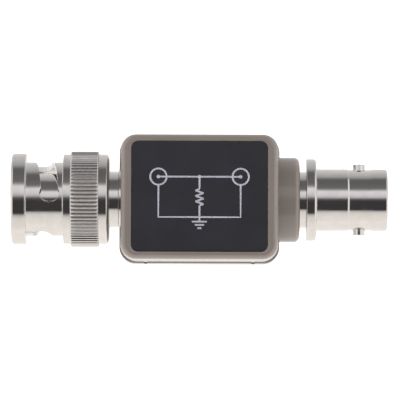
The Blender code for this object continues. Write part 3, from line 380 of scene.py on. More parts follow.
def turning_tree():
    inputs = {"Profile": "Geometry", "Steps": "Int", "Axis Height": "Float", "Finish": "Material"}
    graph, (profile, steps, height, material) = group("turn_a_profile", inputs)
    count = graph.add("GeometryNodeAttributeDomainSize", {"component": "MESH"}, {0: profile})
    columns = steps + 1
    grid = graph.add("GeometryNodeMeshGrid", None, {"Vertices X": count, "Vertices Y": columns})
    index = graph.add("GeometryNodeInputIndex")
    row = ((index + 0.5) / columns).floor()
    turn = (index - row * columns) / steps * math.tau
    position = graph.add("GeometryNodeInputPosition")
    point = graph.add(
        "GeometryNodeSampleIndex",
        {"data_type": "FLOAT_VECTOR"},
        {"Geometry": profile, "Value": position, "Index": row},
    )
    along, _, radius = graph.split(point)
    around, upward = radius * turn.maths("SINE", turn), radius * turn.maths("COSINE", turn) + height
    wrapped = graph.add("ShaderNodeCombineXYZ", None, {0: along, 1: around, 2: upward})
    moved = graph.add("GeometryNodeSetPosition", None, {"Geometry": grid, "Position": wrapped})
    merged = graph.add("GeometryNodeMergeByDistance", None, {"Geometry": moved, "Distance": WELD})
    return closed_tree(graph, merged, material)


# %% Meshes and their shading
def mesh_object(name, mesh):
    obj = bpy.data.objects.new(name, mesh)
    bpy.context.scene.collection.objects.link(obj)
    return obj


def baked(obj):
    """The object with its modifiers turned into a plain mesh."""
    bpy.context.view_layer.update()
    evaluated = obj.evaluated_get(bpy.context.evaluated_depsgraph_get())
    mesh = bpy.data.meshes.new_from_object(evaluated)
    obj.modifiers.clear()
    obj.data = mesh
    mesh.name = obj.name
    return obj


def grown(obj, tree, **values):
    """The object as a Geometry Nodes tree makes it, with the named inputs set."""
    step = obj.modifiers.new(tree.name, "NODES")
    step.node_group = tree
    sockets = {item.name: item.identifier for item in tree.interface.items_tree}
    for key, value in values.items():
        step[sockets[titled(key)]] = value
    return baked(obj)


def outward(mesh):
    """Weld the points that coincide, and turn every face outwards."""
    bm = bmesh.new()
    bm.from_mesh(mesh)
    bmesh.ops.remove_doubles(bm, verts=bm.verts, dist=WELD)
    bmesh.ops.recalc_face_normals(bm, faces=bm.faces)
    bm.to_mesh(mesh)
    bm.free()


def polished(obj, angle=32):
    """Smooth shading in which the large faces keep their own direction."""
    outward(obj.data)
    obj.data.shade_smooth()
    obj.data.set_sharp_from_angle(angle=math.radians(angle))
    weighted = obj.modifiers.new("large faces lead", "WEIGHTED_NORMAL")
    weighted.keep_sharp = True
    weighted.weight = 80
    return baked(obj)


TURNING = turning_tree()


def turned(name, profile, material, side=1, soften=0.06, steps=128, shine=True):
    """A piece from (station, radius) pairs in millimetres, on the +X or the -X side.

    A profile that doesn't start on the axis is closed.
    """
    loop = profile[:1] if profile[0][1] else []
    points = softened([(x * side * MM, r * MM) for x, r in [*profile, *loop]], soften * MM)
    mesh = bpy.data.meshes.new(name)
    edges = [(i, i + 1) for i in range(len(points) - 1)]
    mesh.from_pydata([(x, 0, r) for x, r in points], edges, [])
    obj = mesh_object(name, mesh)
    grown(obj, TURNING, steps=steps, axis_height=AXIS, finish=material)
    outward(obj.data)
    return polished(obj) if shine else obj


print("turning tree has", len(TURNING.nodes), "nodes")

# %% [markdown]
# Cutters
#
# Slots and holes are cut with Boolean modifiers. A cutter is either a box, a round peg that points
# straight at the axis, or a skin lofted through a few rings of points. Each is removed once its cut
# is baked into the mesh.

# %% Boxes, pegs and lofts
PEG_STEPS = 64


def about_line(turn):
    """A turn about the coaxial line, for points that are given from it."""
    return Matrix.Translation((0, 0, AXIS)) @ Matrix.Rotation(-turn, 4, "X")


def from_bmesh(name, bm):
    mesh = bpy.data.meshes.new(name)
    bm.to_mesh(mesh)
    bm.free()
    return mesh_object(name, mesh)


def boxed(name, low, high, turn=0.0):
    """A box in millimetres, turned about the coaxial line."""
    bm = bmesh.new()
    bmesh.ops.create_cube(bm, size=1)
    for vert in bm.verts:
        for i in range(3):
            vert.co[i] = (low[i] if vert.co[i] < 0 else high[i]) * MM
    bm.transform(about_line(turn))
    box = from_bmesh(name, bm)
    outward(box.data)
    return box


def peg(name, x, radius, low, high, turn):
    """A round cutter of a radius in millimetres, from one distance off the axis to another."""
    bm = bmesh.new()
    size = {"radius1": radius * MM, "radius2": radius * MM, "depth": (high - low) * MM}
    bmesh.ops.create_cone(bm, cap_ends=True, segments=PEG_STEPS, **size)
    bm.transform(about_line(turn) @ Matrix.Translation((x * MM, 0, (low + high) / 2 * MM)))
    return from_bmesh(name, bm)


def lofted(name, rings):
    """A closed skin through rings of equally many points, in millimetres about the axis."""
    bm = bmesh.new()
    loops = [[bm.verts.new((x * MM, y * MM, z * MM + AXIS)) for x, y, z in ring] for ring in rings]
    count = len(loops[0])
    for first, second in zip(loops, loops[1:]):
        for i in range(count):
            j = (i + 1) % count
            bm.faces.new((first[i], first[j], second[j], second[i]))
    bm.faces.new(reversed(loops[0]))
    bm.faces.new(loops[-1])
    skin = from_bmesh(name, bm)
    outward(skin.data)
    return skin


def combined(obj, tools, operation):
    """The object joined with its tools or cut by them, after which the tools are gone."""
    for tool in tools:
        step = obj.modifiers.new(tool.name, "BOOLEAN")
        step.operation = operation
        step.object = tool
    baked(obj)
    for tool in tools:
        bpy.data.objects.remove(tool)
    return obj


# %% [markdown]
# Sizes
#
# The CAD boxes give the main sizes, in millimetres from the coaxial line. What they can't give is
# named here. Most of that is the same as in the CAD source. The bayonet slots, the rear edge of the
# nut, the pry slots and the line where the shells meet are a little finer here. Both connectors are
# measured outwards from the middle of the housing, so they share the stations inside it.

# %% Sizes from the frame
LINE = Vector((0, 0, AXIS))
GAP, PLAY = 0.1, 0.05


def span(node):
    """The two corners of a CAD node's box, in millimetres from the coaxial line."""
    return [(corner - LINE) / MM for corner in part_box(node)]


def arc(centre, radius, start, end, steps=8):
    """Points of an arc in a plane, between two angles in degrees."""
    turns = [math.radians(start + (end - start) * i / steps) for i in range(steps + 1)]
    return [(centre[0] + radius * math.cos(t), centre[1] + radius * math.sin(t)) for t in turns]


rear_low, rear_high = span("rear_shell")
jack_low, jack_high = span("jack_body")
plug_low, plug_high = span("plug_body")
nut_low, nut_high = span("coupling_nut")
WALL, SHOULDER_THICKNESS, BORE_STEP_DEPTH = 1.5, 1.0, 0.6
WALL_OUTSIDE = -rear_low.x
WALL_INSIDE = WALL_OUTSIDE - WALL
SHOULDER_OUTSIDE = WALL_INSIDE - GAP
SHOULDER_INSIDE = SHOULDER_OUTSIDE - SHOULDER_THICKNESS
BORE_STEP = WALL_OUTSIDE + BORE_STEP_DEPTH
COLLAR_END = rear_high.x
THREAD, SHOULDER, NECK, STEM = 4.0, 5.0, 4.35, 4.33
INNER_STEPS = [(SHOULDER_INSIDE, THREAD), (SHOULDER_INSIDE, SHOULDER), (SHOULDER_OUTSIDE, SHOULDER)]
TAIL, INSULATOR_TAIL = 0.5, 2.35
print("housing ends at", round(WALL_OUTSIDE, 2), "and the collar at", round(COLLAR_END, 2), "mm")

# %% [markdown]
# The two shells of the housing
#
# The box is moulded in two halves that meet on the plane of the coaxial line. The walls lean in a
# little so that the mould lets go, the edges round over into the faces, and the front shell is a
# touch smaller than the rear one, which leaves a fine step along the seam. Each shell is a loft:
# one rounded rectangle after another, from the floor of the label's recess over the rim and back
# up inside.

# %% Rings of a shell
label_low, label_high = span("front_label")
SHELL_DEPTH = -rear_low.z
RIM_STEP, SEAM = 0.18, 0.02
REAR_HALF = (WALL_OUTSIDE, rear_high.y)
FRONT_HALF = (REAR_HALF[0] - RIM_STEP, REAR_HALF[1] - RIM_STEP)
INNER_HALF = (REAR_HALF[0] - WALL, REAR_HALF[1] - WALL)
SHELL_CORNER, INNER_CORNER = 2.5, 1.0
DRAFT_INSET = 0.12
EDGE_WIDTH, EDGE_DEPTH = 0.8, 1.3
RIM_ROLL = ((0.14, 0.0), (0.07, 0.07), (0.02, 0.2), (0.0, 0.4))
TONGUE = 0.6
LABEL_HALF = (label_high.x, label_high.y)
LABEL_CORNER = 1.0
RECESS_FLOOR = label_low.z - PLAY
RECESS_ROLL = ((0.0, 0.08), (-0.03, 0.02), (-0.09, 0.0))


def rounded(half, corner, inset, z, steps=12):
    """A rectangle with round corners, shrunk by inset, at a height above the axis."""
    ring = []
    for sx, sy, start in ((1, 1, 0), (-1, 1, 90), (-1, -1, 180), (1, -1, 270)):
        centre = (sx * (half[0] - corner), sy * (half[1] - corner))
        ring += [(x, y, z) for x, y in arc(centre, corner - inset, start, start + 90, steps)]
    return ring


def shell_side(half, side, steps=10):
    """The outside of a shell from its rim to its face."""
    wall = SHELL_DEPTH - EDGE_DEPTH
    rings = [rounded(half, SHELL_CORNER, inset, side * (SEAM + rise)) for inset, rise in RIM_ROLL]
    for i in range(steps + 1):
        turn = math.radians(90 * i / steps)
        inset = DRAFT_INSET + EDGE_WIDTH * (1 - math.cos(turn))
        rings.append(rounded(half, SHELL_CORNER, inset, side * (wall + EDGE_DEPTH * math.sin(turn))))
    return rings


def inner_rings(side, grow, level):
    """The inside of a shell, past the tongue or rebate that locates the other one."""
    return [
        rounded(INNER_HALF, INNER_CORNER, -grow, side * SEAM),
        rounded(INNER_HALF, INNER_CORNER, -grow, level),
        rounded(INNER_HALF, INNER_CORNER, 0.0, level),
        rounded(INNER_HALF, INNER_CORNER, 0.0, side * (SHELL_DEPTH - WALL)),
    ]


recess_half = (LABEL_HALF[0] + GAP, LABEL_HALF[1] + GAP)
recess_corner = LABEL_CORNER + GAP
recess = [
    rounded(recess_half, recess_corner, 0.0, RECESS_FLOOR),
    *(rounded(recess_half, recess_corner, inset, SHELL_DEPTH - drop) for inset, drop in RECESS_ROLL),
]
front_inside = inner_rings(1, TONGUE + GAP, TONGUE + GAP)
front_shell = lofted("front_shell_skin", recess + shell_side(FRONT_HALF, 1)[::-1] + front_inside)
rear_inside = inner_rings(-1, TONGUE, TONGUE)
rear_shell = lofted("rear_shell_skin", shell_side(REAR_HALF, -1)[::-1] + rear_inside)
print("shell lofts:", len(front_shell.data.vertices), len(rear_shell.data.vertices), "points")

# %% [markdown]
# The jack's collar, the holes and the pry slots
#
# Each shell carries half of a round collar that grips the neck of the jack. The line of the
# connectors then needs its holes, and small slots beside the snap hooks let a blade in.

# %% Cutters of the shells
COLLAR, COLLAR_EDGE = 6.55, 0.8
OUTER_SHOULDER = 4.65
SHOULDER_FACE = WALL_OUTSIDE + GAP
SHOULDER_BACK = SHOULDER_FACE - 0.6
HOOK_REACH = 8.3
PRY_HALF, PRY_DROP, PRY_RISE = 0.24, 1.6, 0.4


def tool(name, profile, side=1):
    return turned(name, profile, None, side, soften=0, shine=False)


def half_collar(side):
    """The part of the collar on one side of the meeting plane."""
    edge = arc((COLLAR_END - COLLAR_EDGE, COLLAR - COLLAR_EDGE), COLLAR_EDGE, 90, 0, 10)
    start = WALL_OUTSIDE - WALL / 2
    whole = tool("collar", [(start, 0), (start, COLLAR), *edge, (COLLAR_END, 0)])
    levels = sorted((side * GAP / 2, -side * SHELL_DEPTH))
    other = boxed("other_half", (start - 1, -8, levels[0]), (COLLAR_END + 1, 8, levels[1]))
    return combined(whole, [other], "DIFFERENCE")


def line_holes():
    """Cutters for the jack's neck, and for the plug's stem with its outer shoulder."""
    inside, neck, stem = WALL_INSIDE - WALL, NECK + GAP, STEM + GAP
    seat, shoulder, outside = SHOULDER_BACK - GAP, OUTER_SHOULDER + GAP, WALL_OUTSIDE + WALL
    yield tool("neck", [(inside, 0), (inside, neck), (COLLAR_END + 1, neck), (COLLAR_END + 1, 0)])
    stepped = [(inside, stem), (seat, stem), (seat, shoulder), (outside, shoulder)]
    yield tool("stem", [(inside, 0), *stepped, (outside, 0)], side=-1)


def pry_slots():
    near, far = INNER_HALF[1] + TONGUE + 2 * GAP, REAR_HALF[1] + 1
    for sx in (-1, 1):
        for sy in (-1, 1):
            ys = sorted((sy * near, sy * far))
            low = (sx * HOOK_REACH - PRY_HALF, ys[0], -PRY_DROP)
            high = (sx * HOOK_REACH + PRY_HALF, ys[1], PRY_RISE)
            yield boxed("pry_slot", low, high)


# %% Finish the shells
for shell, side, node in ((front_shell, 1, "front_shell"), (rear_shell, -1, "rear_shell")):
    combined(shell, [half_collar(side)], "UNION")
    combined(shell, [*line_holes(), *pry_slots()], "DIFFERENCE")
    polished(shell, 30)
    painted(shell, taupe)
    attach(shell, HOUSING)
    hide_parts(node)
    print(shell.name, len(shell.data.polygons), "faces")

# %% [markdown]
# The label
#
# The label is a rounded plate of film, a quarter of a millimetre thick with its adhesive, whose
# edge rolls over very slightly where it was die-cut.

# %% Label plate
LABEL_TOP = label_high.z
LABEL_ROLL = ((0.0, 0.05), (0.02, 0.01), (0.07, 0.0))
label_rings = [rounded(LABEL_HALF, LABEL_CORNER, 0.0, label_low.z)]
for inset, drop in LABEL_ROLL:
    label_rings.append(rounded(LABEL_HALF, LABEL_CORNER, inset, LABEL_TOP - drop))
label = lofted("label_plate", label_rings)
polished(label, 40)
painted(label, film)
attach(label, HOUSING)
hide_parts("front_label")
print("label plate", len(label.data.polygons), "faces")

# %% [markdown]
# The print on the label
#
# The circuit of any feed-through load is drawn there. A line joins two coaxial symbols, and a
# resistor leads from its middle down to earth. The strokes are lines of points, and a Geometry
# Nodes tree sweeps a flat nib along them. Each stroke lies a hair higher than the one before, so
# that no two faces share a plane.

# %% The nib
def nib_tree():
    inputs = {"Strokes": "Geometry", "Line Width": "Float", "Ink Depth": "Float", "Finish": "Material"}
    graph, (strokes, width, depth, material) = group("sweep_a_nib", inputs)
    curves = graph.add("GeometryNodeMeshToCurve", None, {0: strokes})
    flat = {"Width": width, "Height": depth}
    nib = graph.add("GeometryNodeCurvePrimitiveQuadrilateral", None, flat)
    swept = {"Curve": curves, "Profile Curve": nib, "Fill Caps": True}
    return closed_tree(graph, graph.add("GeometryNodeCurveToMesh", None, swept), material)


# %% Strokes of the drawing
ROW, COAX, EARTH = 3.0, 6.3, -3.2
RING, DOT = 1.25, 0.13
ZIGZAG, ZIG, ZIG_TOP, BENDS = 0.62, 0.42, 1.1, 6
LEAD, BARS, BAR_STEP = 0.7, (1.15, 0.72, 0.3), 0.5
LINE_WIDTH, INK_DEPTH, INK_LIFT, LAYER = 0.26, 0.02, 0.006, 0.0008


def circuit():
    """Every stroke of the drawing, as lists of points."""
    bends = [((ZIGZAG if i % 2 else -ZIGZAG), ZIG_TOP - ZIG * (i + 0.5)) for i in range(BENDS)]
    foot = (0.0, ZIG_TOP - BENDS * ZIG)
    line = [(0.0, ROW), (0.0, ZIG_TOP), *bends, foot, (0.0, EARTH - LEAD)]
    yield from zip(line, line[1:])
    yield [(-COAX, ROW), (COAX, ROW)]
    yield arc((0.0, ROW), DOT, 0, 360, 16)
    for sign in (-1, 1):
        yield arc((sign * COAX, ROW), RING, 0, 360, 48)
        yield arc((sign * COAX, ROW), DOT, 0, 360, 16)
        yield [(sign * COAX, ROW - RING), (sign * COAX, EARTH), (0.0, EARTH)]
    for step, half in enumerate(BARS):
        level = EARTH - LEAD - BAR_STEP * step
        yield [(-half, level), (half, level)]


def drawn(strokes, height):
    """A mesh of bare lines through the strokes' points, closed where a stroke ends at its start."""
    points, edges = [], []
    for layer, stroke in enumerate(strokes):
        start = len(points)
        level = height + LAYER * layer
        loop = math.dist(stroke[0], stroke[-1]) < 1e-6
        own = stroke[:-1] if loop else stroke
        points += [(x * MM, y * MM, level * MM + AXIS) for x, y in own]
        edges += [(start + i, start + i + 1) for i in range(len(own) - 1)]
        if loop:
            edges.append((start + len(own) - 1, start))
    mesh = bpy.data.meshes.new("label_print")
    mesh.from_pydata(points, edges, [])
    return mesh


# %% Print the drawing
label_print = mesh_object("label_print", drawn(circuit(), LABEL_TOP + INK_LIFT))
grown(label_print, nib_tree(), line_width=LINE_WIDTH * MM, ink_depth=INK_DEPTH * MM, finish=ink)
outward(label_print.data)
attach(label_print, HOUSING)
print("label print", len(label_print.data.polygons), "faces")

# %% [markdown]
# The jack
#
# Its body is one turned piece: a neck in the collar, a flange, and the barrel that a plug slides
# over, with a shallow relief where the two lugs stand. The lugs are separate pins, pressed in.

# %% Profile of the jack
JACK_START, JACK_END = jack_low.x, jack_high.x
FLANGE, FLANGE_EDGE = jack_high.y, 0.4
FLANGE_START = COLLAR_END + 1.05
FLANGE_END = FLANGE_START + 1.55
BARREL, MOUTH, LINE_BORE = 4.8, 4.07, 3.3
RIM_CHAMFER = 0.2
MOUTH_FLOOR = JACK_END - 8.45
LUG_X = JACK_END - 4.35
RELIEF, RELIEF_START, RELIEF_END = BARREL - 0.1, LUG_X - 1.85, LUG_X + 2.35
REAR_SLOPE, FRONT_SLOPE = 0.25, 0.9
TAIL_BORE = INSULATOR_TAIL + GAP
jack_profile = [
    (JACK_START, TAIL_BORE), (JACK_START, THREAD),
    *INNER_STEPS,
    (SHOULDER_OUTSIDE, NECK),
    (FLANGE_START, NECK), (FLANGE_START, FLANGE),
    *arc((FLANGE_END - FLANGE_EDGE, FLANGE - FLANGE_EDGE), FLANGE_EDGE, 90, 0, 6),
    (FLANGE_END, BARREL),
    (RELIEF_START, BARREL),
    (RELIEF_START + REAR_SLOPE, RELIEF),
    (RELIEF_END - FRONT_SLOPE, RELIEF),
    (RELIEF_END, BARREL),
    (JACK_END - RIM_CHAMFER, BARREL),
    (JACK_END, BARREL - RIM_CHAMFER), (JACK_END, MOUTH + RIM_CHAMFER),
    (JACK_END - RIM_CHAMFER, MOUTH),
    (MOUTH_FLOOR, MOUTH), (MOUTH_FLOOR, LINE_BORE),
    (BORE_STEP, LINE_BORE), (BORE_STEP, TAIL_BORE),
]

# %% Jack body and lugs
LUG, LUG_TIP, LUG_EDGE, LUG_STEPS = 0.95, span("jack_lug_upper")[1].y, 0.14, 48
jack = turned("jack_body_skin", jack_profile, nickel, soften=0.09, steps=160, shine=False)
lug_holes = [
    peg(f"lug_hole_{i}", LUG_X, LUG + PLAY, MOUTH - 1, BARREL + 2, turn)
    for i, turn in enumerate((-math.pi / 2, math.pi / 2))
]
combined(jack, lug_holes, "DIFFERENCE")
polished(jack)
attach(jack, HOUSING)
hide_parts("jack_body")


def lug(name, sign):
    """A pressed pin that points away from the line along +Y or -Y, with a rounded rim."""
    rim = arc((LUG_TIP - LUG_EDGE, LUG - LUG_EDGE), LUG_EDGE, 90, 0, 5)
    last = LUG_STEPS - 1
    rings = []
    for y, radius in [(MOUTH + PLAY, LUG), *rim, (LUG_TIP, LUG / 2)]:
        circle = arc((LUG_X, 0.0), radius, 0, 360 * last / LUG_STEPS, last)
        rings.append([(x, sign * y, z) for x, z in circle])
    return polished(lofted(name, rings), 50)


for name, sign, node in (("lug_upper", 1, "jack_lug_upper"), ("lug_lower", -1, "jack_lug_lower")):
    pin = lug(name, sign)
    painted(pin, nickel)
    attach(pin, HOUSING)
    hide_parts(node)
print("jack body", len(jack.data.polygons), "faces")

# %% [markdown]
# Inside the jack's mouth
#
# A white insulator stands in the mouth and holds a gold socket, whose four fingers spring open
# round the pin of a plug.

# %% Jack insulator and socket
socket_low, socket_high = span("jack_socket")
nose_low, nose_high = span("jack_insulator")
SOCKET, PIN = 1.05, 0.68
PIN_BORE = PIN + PLAY
SOCKET_TIP, SOCKET_DEPTH = socket_high.x, 4.5
seat = BORE_STEP + GAP
nose_radius, nose_back = 2.36, LINE_BORE - GAP
nose = turned(
    "jack_insulator_skin",
    [
        (nose_low.x, TAIL + PLAY), (nose_low.x, INSULATOR_TAIL),
        (seat, INSULATOR_TAIL), (seat, nose_back),
        (MOUTH_FLOOR - GAP, nose_back), (MOUTH_FLOOR - GAP, nose_radius),
        (nose_high.x, nose_radius), (nose_high.x, SOCKET + PLAY),
        (seat, SOCKET + PLAY), (seat, TAIL + PLAY),
    ],
    ptfe,
    soften=0.08,
    steps=96,
)
socket = turned(
    "jack_socket_skin",
    [
        (socket_low.x, 0), (socket_low.x, TAIL),
        (seat + GAP, TAIL), (seat + GAP, SOCKET),
        (SOCKET_TIP, SOCKET), (SOCKET_TIP, PIN_BORE),
        (SOCKET_TIP - SOCKET_DEPTH, PIN_BORE), (SOCKET_TIP - SOCKET_DEPTH, 0),
    ],
    gold,
    soften=0.05,
    steps=64,
    shine=False,
)


def crossed(tip, length, width, reach, side=1, turn=0.0):
    """Two crossed blades that part a tube's end into four fingers."""
    xs = sorted((side * (tip - length), side * (tip + 1)))
    upright = boxed("upright", (xs[0], -width / 2, -reach), (xs[1], width / 2, reach), turn)
    level = boxed("level", (xs[0], -reach, -width / 2), (xs[1], reach, width / 2), turn)
    return [upright, level]


combined(socket, crossed(SOCKET_TIP, 3.0, 0.25, 2 * SOCKET), "DIFFERENCE")
polished(socket)
for piece, node, slot in ((nose, "jack_insulator", "ptfe"), (socket, "jack_socket", "gold")):
    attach(piece, HOUSING)
    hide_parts(node)
print("jack mouth done")

# %% [markdown]
# The plug's body, insulator, pin and gasket
#
# The plug's body runs from the board to the tip of its sleeve. Four slots make the sleeve springy.

# %% Plug body
TIP, PLUG_FLANGE = -plug_low.x, plug_high.y
FLANGE_BACK = -span("wave_washer")[0].x + GAP
FLANGE_FRONT = FLANGE_BACK + 1.0
SLEEVE, SLEEVE_WALL, BULGE = 3.98, 0.55, 0.1
SLEEVE_BORE = SLEEVE - SLEEVE_WALL
plug = turned(
    "plug_body_skin",
    [
        (-plug_high.x, TAIL_BORE), (-plug_high.x, THREAD),
        *INNER_STEPS,
        (SHOULDER_OUTSIDE, STEM),
        (SHOULDER_BACK, STEM), (SHOULDER_BACK, OUTER_SHOULDER),
        (SHOULDER_FACE, OUTER_SHOULDER), (SHOULDER_FACE, STEM),
        (FLANGE_BACK, STEM), (FLANGE_BACK, PLUG_FLANGE),
        (FLANGE_FRONT, PLUG_FLANGE), (FLANGE_FRONT, SLEEVE),
        (TIP - 3 * SLEEVE_WALL, SLEEVE),
        (TIP - 2 * SLEEVE_WALL, SLEEVE + BULGE),
        (TIP - SLEEVE_WALL, SLEEVE + BULGE),
        (TIP, SLEEVE - BULGE), (TIP, SLEEVE_BORE),
        (BORE_STEP, SLEEVE_BORE), (BORE_STEP, TAIL_BORE),
    ],
    nickel,
    side=-1,
    soften=0.07,
    steps=160,
    shine=False,
)
combined(plug, crossed(TIP, 5.0, 0.5, 6, -1, math.radians(-11)), "DIFFERENCE")
polished(plug)
print("plug body", len(plug.data.polygons), "faces")

# %% Plug insulator, pin and gasket
dielectric_low, dielectric_high = span("plug_insulator")
pin_low, pin_high = span("plug_pin")
gasket_low, gasket_high = span("plug_gasket")
DIELECTRIC_END, PIN_BODY, PIN_TAPER = -dielectric_low.x, 1.0, 0.6
WEB = DIELECTRIC_END - PIN_TAPER
dielectric = turned(
    "plug_insulator_skin",
    [
        (-dielectric_high.x, TAIL + PLAY), (-dielectric_high.x, INSULATOR_TAIL),
        (seat, INSULATOR_TAIL), (seat, dielectric_high.y),
        (DIELECTRIC_END, dielectric_high.y), (DIELECTRIC_END, PIN_BORE),
        (WEB, PIN_BORE), (WEB, PIN_BODY + PLAY),
        (seat, PIN_BODY + PLAY), (seat, TAIL + PLAY),
    ],
    ptfe,
    side=-1,
    soften=0.08,
    steps=96,
)
pin = turned(
    "plug_pin_skin",
    [
        (-pin_high.x, 0), (-pin_high.x, TAIL),
        (seat + GAP, TAIL), (seat + GAP, PIN_BODY),
        (WEB - PLAY, PIN_BODY), (WEB - PLAY, PIN),
        (-pin_low.x - PIN_TAPER, PIN),
        (-pin_low.x - PIN_TAPER / 3, PIN * 0.6),
        (-pin_low.x, PIN * 0.2), (-pin_low.x, 0),
    ],
    gold,
    side=-1,
    soften=0.1,
    steps=64,
)
gasket = turned(
    "plug_gasket_skin",
    [
        (-gasket_high.x, SLEEVE + PLAY), (-gasket_high.x, gasket_high.y),
        (-gasket_low.x, gasket_high.y), (-gasket_low.x, SLEEVE + PLAY),
    ],
    silicone,
    side=-1,
    soften=0.15,
    steps=96,
)
for piece, node, slot in (
    (plug, "plug_body", "nickel"),
    (dielectric, "plug_insulator", "ptfe"),
    (pin, "plug_pin", "gold"),
    (gasket, "plug_gasket", "silicone"),
):
    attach(piece, HOUSING)
    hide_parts(node)
print("plug contacts and gasket done")

# %% [markdown]
# The coupling nut
#
# The nut turns freely on the plug. Its front ring guides the jack's barrel, two curved slots catch
# the jack's lugs, and a knurled band gives the fingers a grip. The body is turned first, then the
# slots are cut: an entry that opens into the ring's bore, a ramp that draws the lug in as the nut
# turns, and a round seat where the lug comes to rest.

# %% Nut body
NUT_MOUTH, NUT_REAR = -nut_low.x, -nut_high.x
RING_EDGE, RING_START = 7.07, NUT_MOUTH - 2.25
RING_CHAMFER, BORE_CHAMFER = 0.27, 0.4
NECKED, NECKED_END = 5.72, RING_START - 5.75
LAND, REAR_ROUND, REAR_FALL = 6.97, 0.5, 1.15
REAR_HOLE, REAR_LIP = 4.6, 0.75
NUT_BORE, SPRING_BORE = 4.9, 5.9
REAR_EDGE = arc((0.0, 0.0), 1.0, 0, 90, 10)
nut = turned(
    "coupling_nut_skin",
    [
        (NUT_MOUTH, NUT_BORE + BORE_CHAMFER), (NUT_MOUTH, RING_EDGE - RING_CHAMFER),
        (NUT_MOUTH - RING_CHAMFER, RING_EDGE),
        (RING_START, RING_EDGE), (RING_START, NECKED),
        (NECKED_END, NECKED), (NECKED_END, LAND),
        *((NUT_REAR + REAR_ROUND * (1 - s), LAND - REAR_FALL * (1 - c)) for c, s in REAR_EDGE),
        (NUT_REAR, REAR_HOLE),
        (NUT_REAR + REAR_LIP, REAR_HOLE), (NUT_REAR + REAR_LIP, SPRING_BORE),
        (FLANGE_FRONT + GAP, SPRING_BORE), (FLANGE_FRONT + GAP, NUT_BORE),
        (NUT_MOUTH - BORE_CHAMFER, NUT_BORE),
    ],
    nickel,
    side=-1,
    soften=0.16,
    steps=192,
    shine=False,
)

# %% [markdown]
# The slots run round the nut as they run along it, so their middle line is a formula: how far
# behind the mouth the slot is for each share of its turn.

# %% Bayonet slots
SLOT_HALF, SLOT_TURN, SLOT_CURVE = 1.325, math.radians(90), 1.5
ENTRY, RAMP_END, SEAT = 4.7, 5.97, 5.94
SEAT_RADIUS, SEAT_ANGLE, SEAT_LEAD = 1.54, math.radians(7.2), math.radians(4)
SLOT_INSIDE, SLOT_OUTSIDE, GROOVE_TOP = NUT_BORE - 0.2, NECKED + 0.2, 5.62


def ramp_line(entry_turn, steps=44):
    """The middle of the ramp: pairs of a turn about the line and a distance behind the mouth."""
    for i in range(steps + 1):
        share = i / steps
        rise = (RAMP_END - ENTRY) * (1 - share) ** SLOT_CURVE
        yield entry_turn - share * SLOT_TURN, RAMP_END - rise


def ramp_rings(entry_turn):
    """Sections of the ramp's cutter, each square to the slot's own direction."""
    middle = list(ramp_line(entry_turn))
    corners = ((-1, SLOT_INSIDE), (1, SLOT_INSIDE), (1, SLOT_OUTSIDE), (-1, SLOT_OUTSIDE))
    for i, (turn, setback) in enumerate(middle):
        before, after = middle[max(i - 1, 0)], middle[min(i + 1, len(middle) - 1)]
        along, back = (after[0] - before[0]) * NECKED, after[1] - before[1]
        length = math.hypot(along, back)
        ring = []
        for sign, radius in corners:
            a = turn + sign * SLOT_HALF * back / length / NECKED
            x = setback - sign * SLOT_HALF * along / length - NUT_MOUTH
            ring.append((x, radius * math.sin(a), radius * math.cos(a)))
        yield ring


def slot_cutters(index):
    """The ramp, the entry's groove and round end, and the seat, of one of the two slots."""
    seat_turn = SEAT_ANGLE + index * math.pi
    entry_turn = seat_turn + SEAT_LEAD + SLOT_TURN
    mouth, half = -NUT_MOUTH, SLOT_HALF - GAP
    low, high = (mouth - 2, -half, SLOT_INSIDE), (mouth + ENTRY, half, GROOVE_TOP)
    pegs = (
        ("entry", ENTRY, SLOT_HALF + 0.03, 0.05, entry_turn),
        ("seat", SEAT, SEAT_RADIUS, 0.04, seat_turn),
    )
    return [
        lofted(f"ramp_{index}", list(ramp_rings(entry_turn))),
        boxed(f"groove_{index}", low, high, entry_turn),
        *(
            peg(f"{kind}_{index}", mouth + x, radius, SLOT_INSIDE - over, SLOT_OUTSIDE + over, turn)
            for kind, x, radius, over, turn in pegs
        ),
    ]


for index in range(2):
    combined(nut, slot_cutters(index), "DIFFERENCE")
polished(nut)
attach(nut, "coupling_nut")
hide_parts("coupling_nut")
print("nut body", len(nut.data.polygons), "faces")

# %% [markdown]
# The knurl
#
# A straight knurl is one tooth, repeated. A Geometry Nodes tree puts a copy of the tooth at every
# step of the turn, each turned a little further about the axis.

# %% The knurl tree
def knurl_tree():
    inputs = {"Tooth": "Geometry", "Teeth": "Int", "Axis Height": "Float", "Finish": "Material"}
    graph, (tooth, teeth, height, material) = group("knurl", inputs)
    lift = graph.add("ShaderNodeCombineXYZ", None, {2: height})
    line = {"Count": teeth, "Start Location": lift, "Offset": (0, 0, 0)}
    seats = graph.add("GeometryNodeMeshLine", None, line)
    index = graph.add("GeometryNodeInputIndex")
    turn = graph.add("ShaderNodeCombineXYZ", None, {0: index / teeth * math.tau})
    copies = {"Points": seats, "Instance": tooth, "Rotation": turn}
    return closed_tree(graph, graph.add("GeometryNodeInstanceOnPoints", None, copies), material)


# %% Knurl teeth
TEETH = 76
CREST, ROOT = nut_high.y, 7.1
KNURL_FRONT = NUT_MOUTH - 9.15
KNURL_BACK = KNURL_FRONT - 4.35
END_CHAMFER = 0.2
TOOTH_FOOT, BAND_INSIDE, BAND = 6.9, 6.8, ROOT - 0.04


